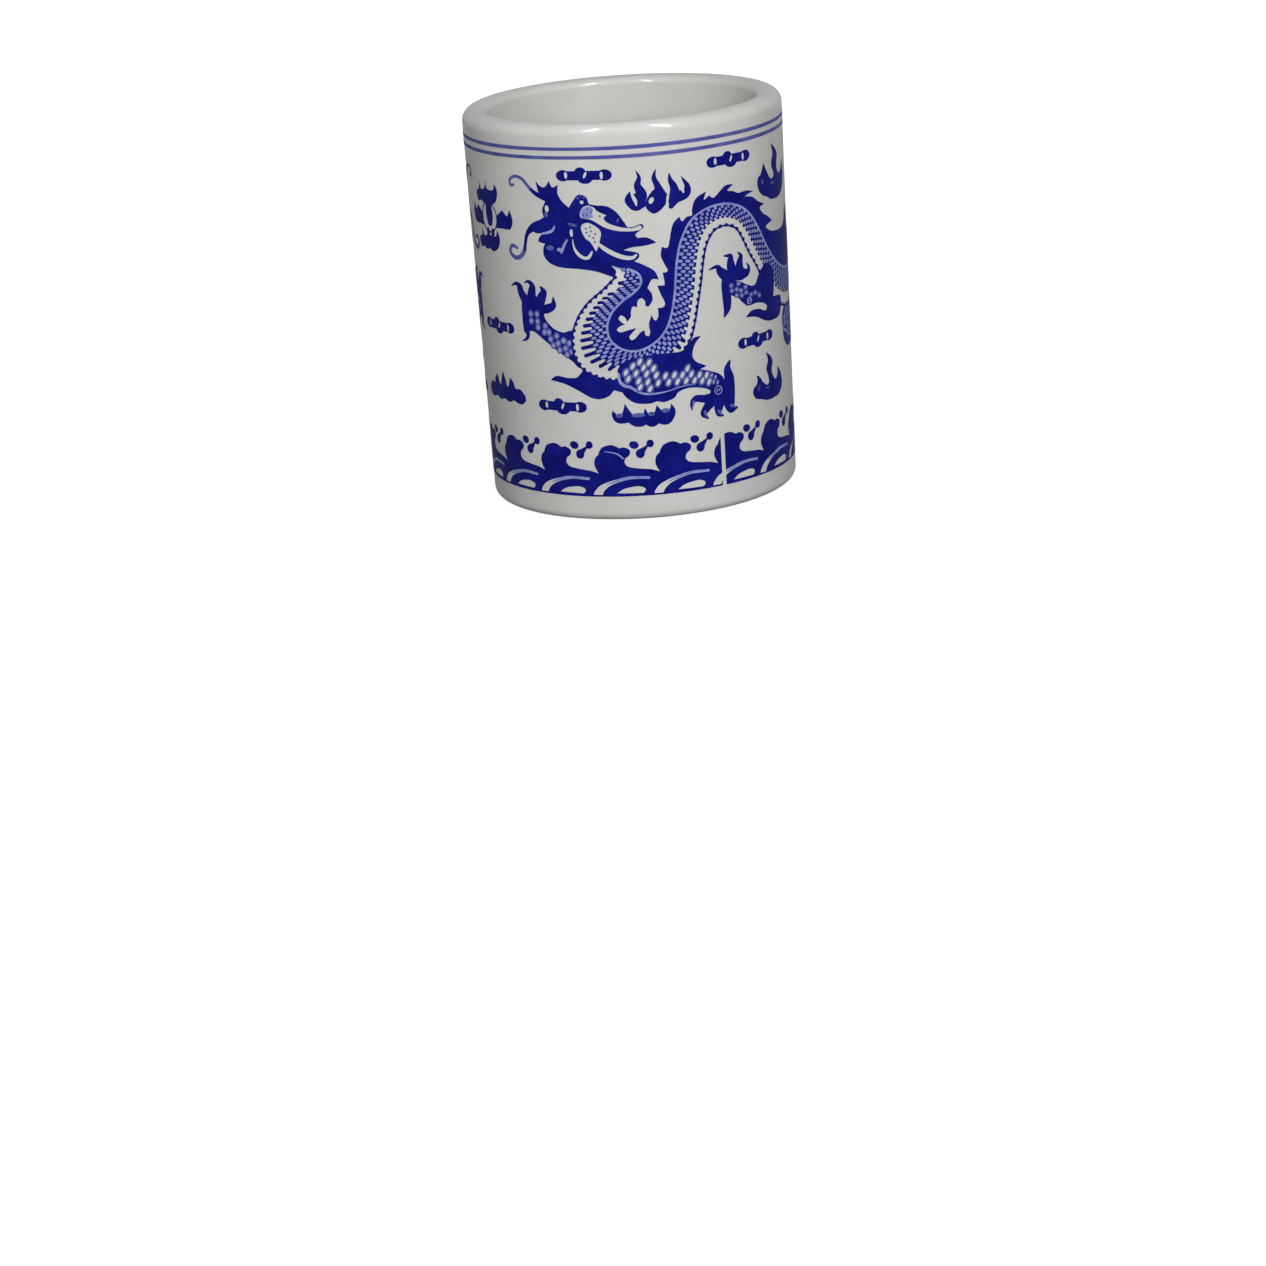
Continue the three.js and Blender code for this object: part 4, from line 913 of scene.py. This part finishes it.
def spaced(rows, share, pitch, start=0.0):
    """Rows an even distance apart, measured along a line at this share of the width."""
    found = []
    left = start
    for row, after in zip(rows, rows[1:]):
        step = math.dist(across(row, share), across(after, share))
        while left < step:
            found.append([lerp(a, b, left / step) for a, b in zip(row, after)])
            left += pitch
        left -= step
    return found


def scales(rows):
    """Light lozenges in a dark net, in lines along the body, each half a pitch on from the last."""
    layers = []
    narrowest, widest = SCALE_WIDTH_RANGE
    for i, tone in enumerate(SCALE_TONES):
        line = (i + RIDGE_MARGIN) / (len(SCALE_TONES) + EDGE_MARGIN)
        found = spaced(rows, SCALE_LINE, SCALE_PITCH, SCALE_PITCH * (i % 2) / 2)
        for row, after in zip(found, found[1:]):
            reach = row[4]
            half_long = SCALE_LENGTH * reach * math.dist(row[:2], row[2:4]) / len(SCALE_TONES)
            (s, z), (next_s, next_z) = across(row, line * reach), across(after, line * reach)
            lean = math.atan2(row[3] - row[1], row[2] - row[0])
            apart = abs((next_s - s) * math.sin(lean) - (next_z - z) * math.cos(lean))
            half_wide = min(max(narrowest, SCALE_WIDTH * apart), widest)
            layers += ink(tone, ovals=[[s, z, half_long, half_wide, math.degrees(lean)]])
    return layers


def body():
    """The dragon's bare belly, the dark band with its bars and scales, and the belly's beads."""
    rows = smooth_path(BODY_STATIONS, ROWS_PER_STATION)
    edge = [across(row, 0) for row in rows]
    layers = [(edge + [across(row, 1) for row in reversed(rows)], BARE)]
    layers.append((edge + [across(row, row[4]) for row in reversed(rows)], DARK))
    bars = []
    for row in spaced(rows, SCALE_LINE, SCALE_PITCH, SCALE_PITCH / 2):
        if row[5] > LEAST_BAR:
            ends = row[4] - BAR_OVERLAP, row[4] + row[5]
            bars.append([[*across(row, share), BAR_HALF_WIDTH] for share in ends])
    layers += ink(DARK, strokes=bars) + scales(rows)
    ridge = [[*across(row, RIDGE_LINE), RIDGE_HALF_WIDTH] for row in rows[RIDGE_START:]]
    belly = [[*across(row, BELLY_LINE), BELLY_HALF_WIDTH] for row in rows[BELLY_START:]]
    layers += ink(PALE, strokes=[ridge]) + ink(DARK, strokes=[belly])
    beaded = spaced(rows[BELLY_START:], 1, BEAD_PITCH)
    return layers + ink(DARK, ovals=[[*across(row, BEAD_LINE), BEAD_RADIUS] for row in beaded])


def spots(tone, places, wide, high, lean, halo=0.4):
    """Like ovals at each of these places, in a halo of thinner ink."""
    around = [[s, z, wide + halo, high + halo, lean] for s, z in places]
    return ink(MID, ovals=around) + ink(tone, ovals=[[s, z, wide, high, lean] for s, z in places])


def joint_ring(s, z, size):
    """The ring of a dragon's ankle, with two light strokes in it."""
    layers = ink(PALE, ovals=[[s, z, size]]) + ink(DARK, ovals=[[s, z, size - RING_WIDTH]])
    return layers + ink(PALE, ovals=[[s + ds, z + dz, *sizes] for ds, dz, *sizes in RING_MARKS])


def fore_leg():
    return ink(DARK, **FORE_LEG) + spots(PALE, FORE_LEG_SPOTS, wide=0.48, high=0.6, lean=-20)


def lower_leg():
    layers = ink(DARK, **LOWER_LEG) + ink(PALE, strokes=[THIGH_EDGE])
    layers += spots(PALE, ANKLE_SPOTS, wide=0.3, high=0.55, lean=-20, halo=0.2)
    layers += ink(MID, strokes=CLAW_LIGHTS)
    layers += spots(BARE, THIGH_SPOTS, wide=0.46, high=0.92, lean=-28, halo=0.5)
    return layers + joint_ring(*LOWER_ANKLE)


def hind_leg():
    layers = ink(DARK, **HIND_LEG) + spots(PALE, HIND_LEG_SPOTS, wide=0.45, high=0.3, lean=-15)
    return layers + joint_ring(*HIND_ANKLE)


def face():
    """The dragon's head, with the lights in it."""
    mottles = [[s, z, MOTTLE_RADIUS] for s, z in MOTTLES]
    layers = ink(DARK, outlines=[HEAD]) + ink(BARE, outlines=[CHEEK, TEMPLE])
    layers += ink(PALE, outlines=[TEMPLE_WASH], ovals=[CHIN_LIGHT]) + ink(MID, ovals=FACE_SHADES + mottles)
    layers += ink(BARE, ovals=FACE_LIGHTS) + ink(BARE, strokes=[JOWL, HORN])
    return layers + ink(PALE, strokes=[LIP, MOUTH])


def dragon():
    """The right-hand dragon. What lies in front comes later."""
    layers = ink(MID, strokes=WHISKERS)
    layers += ink(DARK, outlines=[LOOP_FIN, BACK_FIN, ELBOW_FLAME], strokes=WHISKER_ROOTS + TAIL_TUFT)
    layers += shifted(lower_leg(), *FOURTH_LEG_PLACE)
    return layers + face() + fore_leg() + body() + lower_leg() + hind_leg()


def crest():
    """One crest of the border, as wide as the pitch."""
    half, bottom = CREST_PITCH / 2, BORDER_BOTTOM
    foot = [[-half, bottom, 1], [half, bottom, 1], [half, CREST_SHOULDER, 1]]
    return ink(DARK, outlines=[[*foot, *CREST_HEAD, [-half, CREST_SHOULDER, 1]]])


def crest_lights():
    """The lights of one crest, and the dark line of the border's foot."""
    half, bottom, top = CREST_PITCH / 2, BORDER_BOTTOM, BORDER_BOTTOM + FOOT_LINE
    foot = [[-half, bottom, 1], [half, bottom, 1], [half, top, 1], [-half, top, 1]]
    layers = ink(BARE, outlines=[CREST_LENS], strokes=[CREST_ARC]) + ink(PALE, strokes=[CREST_PALE])
    return layers + ink(DARK, outlines=[foot])


def wave_border():
    """All the crests, then all their lights, bare beyond the seam."""
    layers = []
    for motif in (crest, crest_lights):
        for i in range(CREST_COUNT + 2):
            layers += shifted(motif(), FIRST_CREST + i * CREST_PITCH, 0)
    layers += ink(PALE, strokes=[PARTING])
    start = SEAM_AT + SEAM_GAP / 2
    end = start + SHEET_WIDTH - SEAM_GAP
    for a, b in ((start - CREST_PITCH * 2, start), (end, end + CREST_PITCH * 2)):
        layers.append(([(a, 0), (b, 0), (b, ABOVE_BORDER), (a, ABOVE_BORDER)], BARE))
    return layers


# The small motifs in the field of the right-hand dragon, and again in the other's.
FIELD_MOTIFS = {
    "cloud_brow": (cloud, -10.6, 93.3),
    "cloud_hump": (cloud, 29.3, 93.7),
    "cloud_elbow": (cloud, -21.6, 31.3),
    "cloud_haunch": (cloud, 36.6, 44),
    "flame_mane": (flame, 8.2, 82.5),
    "flame_back": (back_flame, 47.6, 79.7),
    "flame_belly": (low_flame, 0.6, 28.9),
    "flame_haunch": (haunch_flame, 41.3, 26.4),
}

AXIS_MOTIFS = {
    "flaming_pearl": (pearl, PEARL_AXIS, 80.4),
    "cloud_front": (cloud, PEARL_AXIS, 51),
    "flame_front": (axis_flame, PEARL_AXIS, 33.5),
    "flame_tails": (flame, TAIL_AXIS, 60),
    "cloud_tails": (cloud, TAIL_AXIS, 93.5),
}

# How far the width of a rim line wavers, how many times in a turn, and from which angle.
WAVERS = [(0.05, 3, 0), (0.035, 7, 1)]


def make_rim_line(node):
    """One painted band under the lip, whose width wavers a little as the wheel turns."""
    low, high = (corner.z for corner in box_mm(node))
    points = []
    faces = []
    for k in range(SEGMENTS):
        angle = 2 * math.pi * k / SEGMENTS
        bottom = low - sum(far * math.sin(times * angle + start) for far, times, start in WAVERS)
        for lift, height in ((INK_FOOT, bottom), (INK_TOP, bottom), (INK_TOP, high), (INK_FOOT, high)):
            radius = wall_radius(height) + lift
            points.append((radius * math.sin(angle), -radius * math.cos(angle), height))
        here, there = 4 * k, 4 * ((k + 1) % SEGMENTS)
        faces += [(here + i, there + i, there + (i + 1) % 4, here + (i + 1) % 4) for i in range(4)]
    piece = add_piece(node + "_ink", points, faces, [INKS[MID]])
    sharpen(piece)
    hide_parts(node)


def make_prints():
    for name, (motif, s, z) in FIELD_MOTIFS.items():
        placed = shifted(motif(), s, z)
        make_print(name + "_ink_right", [name + "_right"], placed)
        make_print(name + "_ink_left", [name + "_left"], mirrored(placed))
    for name, (motif, s, z) in AXIS_MOTIFS.items():
        make_print(name + "_ink", [name], shifted(motif(), s, z))
    make_print("dragon_ink_right", ["dragon_right"], dragon())
    make_print("dragon_ink_left", ["dragon_left"], mirrored(dragon()))
    make_print("wave_border_ink", ["wave_border"], wave_border())
    for i in range(CREST_COUNT):
        number = f"{i + 1:02d}"
        placed = shifted(ink(DARK, **SPRAY), FIRST_CREST + (i + 0.5) * CREST_PITCH, 0)
        make_print("spray_ink_" + number, ["spray_" + number], placed)


# The camera, at the photograph's place. Angles are in degrees.
CAMERA_DISTANCE = 1008
CAMERA_AZIMUTH = 0.36
CAMERA_ELEVATION = 11.85
CAMERA_PAN = 0.35
CAMERA_TILT = -5.21
CAMERA_ROLL = 3.76
CAMERA_LENS = 106.22
CAMERA_SENSOR = 36

# The soft panels: name, azimuth, elevation, size in metres and watts. The glints: name and azimuth.
PANELS = [
    ("key", 4, 23, (0.5, 0.5), 8.4),
    ("top", 0, 89, (0.3, 0.3), 1.0),
    ("fill_left", -70, 40, (0.5, 0.5), 0.8),
    ("fill_right", 70, 40, (0.5, 0.5), 1.1),
    ("back_left", 204, 5, (0.4, 0.2), 3.4),
    ("back_right", 152, 5, (0.4, 0.2), 4.6),
]
GLINTS = [("glint_left", -30), ("glint_right", 38)]

FLOOR_SIDES = 64


def towards(azimuth, elevation):
    """A direction from the pot, in degrees. Azimuth 0 is the camera's side, and 90 is +X."""
    a, e = math.radians(azimuth), math.radians(elevation)
    return Vector((math.sin(a) * math.cos(e), -math.cos(a) * math.cos(e), math.sin(e)))


def add_camera():
    """The camera faces the middle of the pot and is then turned about its own axes."""
    out = towards(CAMERA_AZIMUTH, CAMERA_ELEVATION)
    right = towards(CAMERA_AZIMUTH + 90, 0)
    facing = Matrix((right, out.cross(right), out)).transposed()
    for degrees, axis in ((CAMERA_PAN, "Y"), (CAMERA_TILT, "X"), (-CAMERA_ROLL, "Z")):
        facing = facing @ Matrix.Rotation(math.radians(degrees), 3, axis)
    data = bpy.data.cameras.new("camera")
    data.sensor_width = CAMERA_SENSOR
    data.lens = CAMERA_LENS
    camera = new_object("camera", data)
    place = Vector((0, 0, HEIGHT / 2)) + CAMERA_DISTANCE * out
    camera.matrix_world = Matrix.Translation(place * MM) @ facing.to_4x4()
    bpy.context.scene.camera = camera


def add_lamp(name, azimuth, elevation, size, watts, distance=1.0):
    """A white panel that faces the middle of the pot, in degrees and metres."""
    out = towards(azimuth, elevation)
    data = bpy.data.lights.new(name, "AREA")
    data.shape = "RECTANGLE"
    data.size, data.size_y = size
    data.energy = watts
    lamp = new_object(name, data)
    lamp.location = Vector((0, 0, HEIGHT / 2 * MM)) + out * distance
    lamp.rotation_euler = out.to_track_quat("Z", "Y").to_euler()
    return lamp


def seen_by_rays(nodes, links, mirrored):
    """1 for rays from the camera or through glass, and this share for rays that a gloss mirrors."""
    rays = nodes.new("ShaderNodeLightPath").outputs
    total = rays["Is Camera Ray"]
    for kind, share in (("Is Transmission Ray", 1), ("Is Glossy Ray", mirrored)):
        added = nodes.new("ShaderNodeMath")
        added.operation = "MULTIPLY_ADD"
        added.use_clamp = True
        added.inputs[1].default_value = share
        links.new(rays[kind], added.inputs[0])
        links.new(total, added.inputs[2])
        total = added.outputs[0]
    return total


def light_world(ambient, mirrored):
    """A white backdrop that lights the pot softly, and that the glaze mirrors more dimly."""
    world = bpy.data.worlds.new("studio")
    world.use_nodes = True
    nodes, links = world.node_tree.nodes, world.node_tree.links
    soft, backdrop = nodes["Background"], nodes.new("ShaderNodeBackground")
    preset(soft, {"Color": linear(WHITE), "Strength": ambient})
    preset(backdrop, {"Color": linear(WHITE)})
    mix = nodes.new("ShaderNodeMixShader")
    links.new(seen_by_rays(nodes, links, mirrored), mix.inputs[0])
    links.new(soft.outputs[0], mix.inputs[1])
    links.new(backdrop.outputs[0], mix.inputs[2])
    links.new(mix.outputs[0], nodes["World Output"].inputs["Surface"])
    bpy.context.scene.world = world


def add_floor(radius, near, far, mirrored):
    """A pale floor that glows a little less near the pot: a painted shade round the pot, where its real
    shadow shows too. Sizes in metres.
    """
    mesh = bpy.data.meshes.new("floor")
    angles = [math.tau * k / FLOOR_SIDES for k in range(FLOOR_SIDES)]
    corners = [(math.cos(a) * radius, math.sin(a) * radius, 0) for a in angles]
    mesh.from_pydata(corners, [], [list(range(FLOOR_SIDES))])
    look = Look("floor", roughness=0.8, coat=0.0, specular=0.0)
    preset(look.shader, {"Base Color": linear(FLOOR_GREY)})
    distance = look.nodes.new("ShaderNodeVectorMath")
    distance.operation = "LENGTH"
    look.links.new(look.place, distance.inputs[0])
    look.wire(look.ramp(distance.outputs["Value"], [(near, FLOOR_GLOW_SHADED_NEAR_POT), (far, WHITE)]), "Emission Color")
    look.wire(seen_by_rays(look.nodes, look.links, mirrored), "Emission Strength")
    mesh.materials.append(look.material)
    floor = new_object("floor", mesh)


def light_studio():
    light_world(ambient=0.06, mirrored=0.4)
    add_floor(radius=4.0, near=0.06, far=0.45, mirrored=0.1)
    for name, azimuth, elevation, size, watts in PANELS:
        add_lamp(name, azimuth, elevation, size, watts).visible_glossy = False
    for name, azimuth in GLINTS:
        add_lamp(name, azimuth, 55, (0.05, 0.4), 4.5, distance=0.9).visible_diffuse = False


bpy.context.scene.view_settings.view_transform = "Standard"
make_wall()
make_base()
make_rim_line("rim_line_upper")
make_rim_line("rim_line_lower")
make_prints()
light_studio()
add_camera()
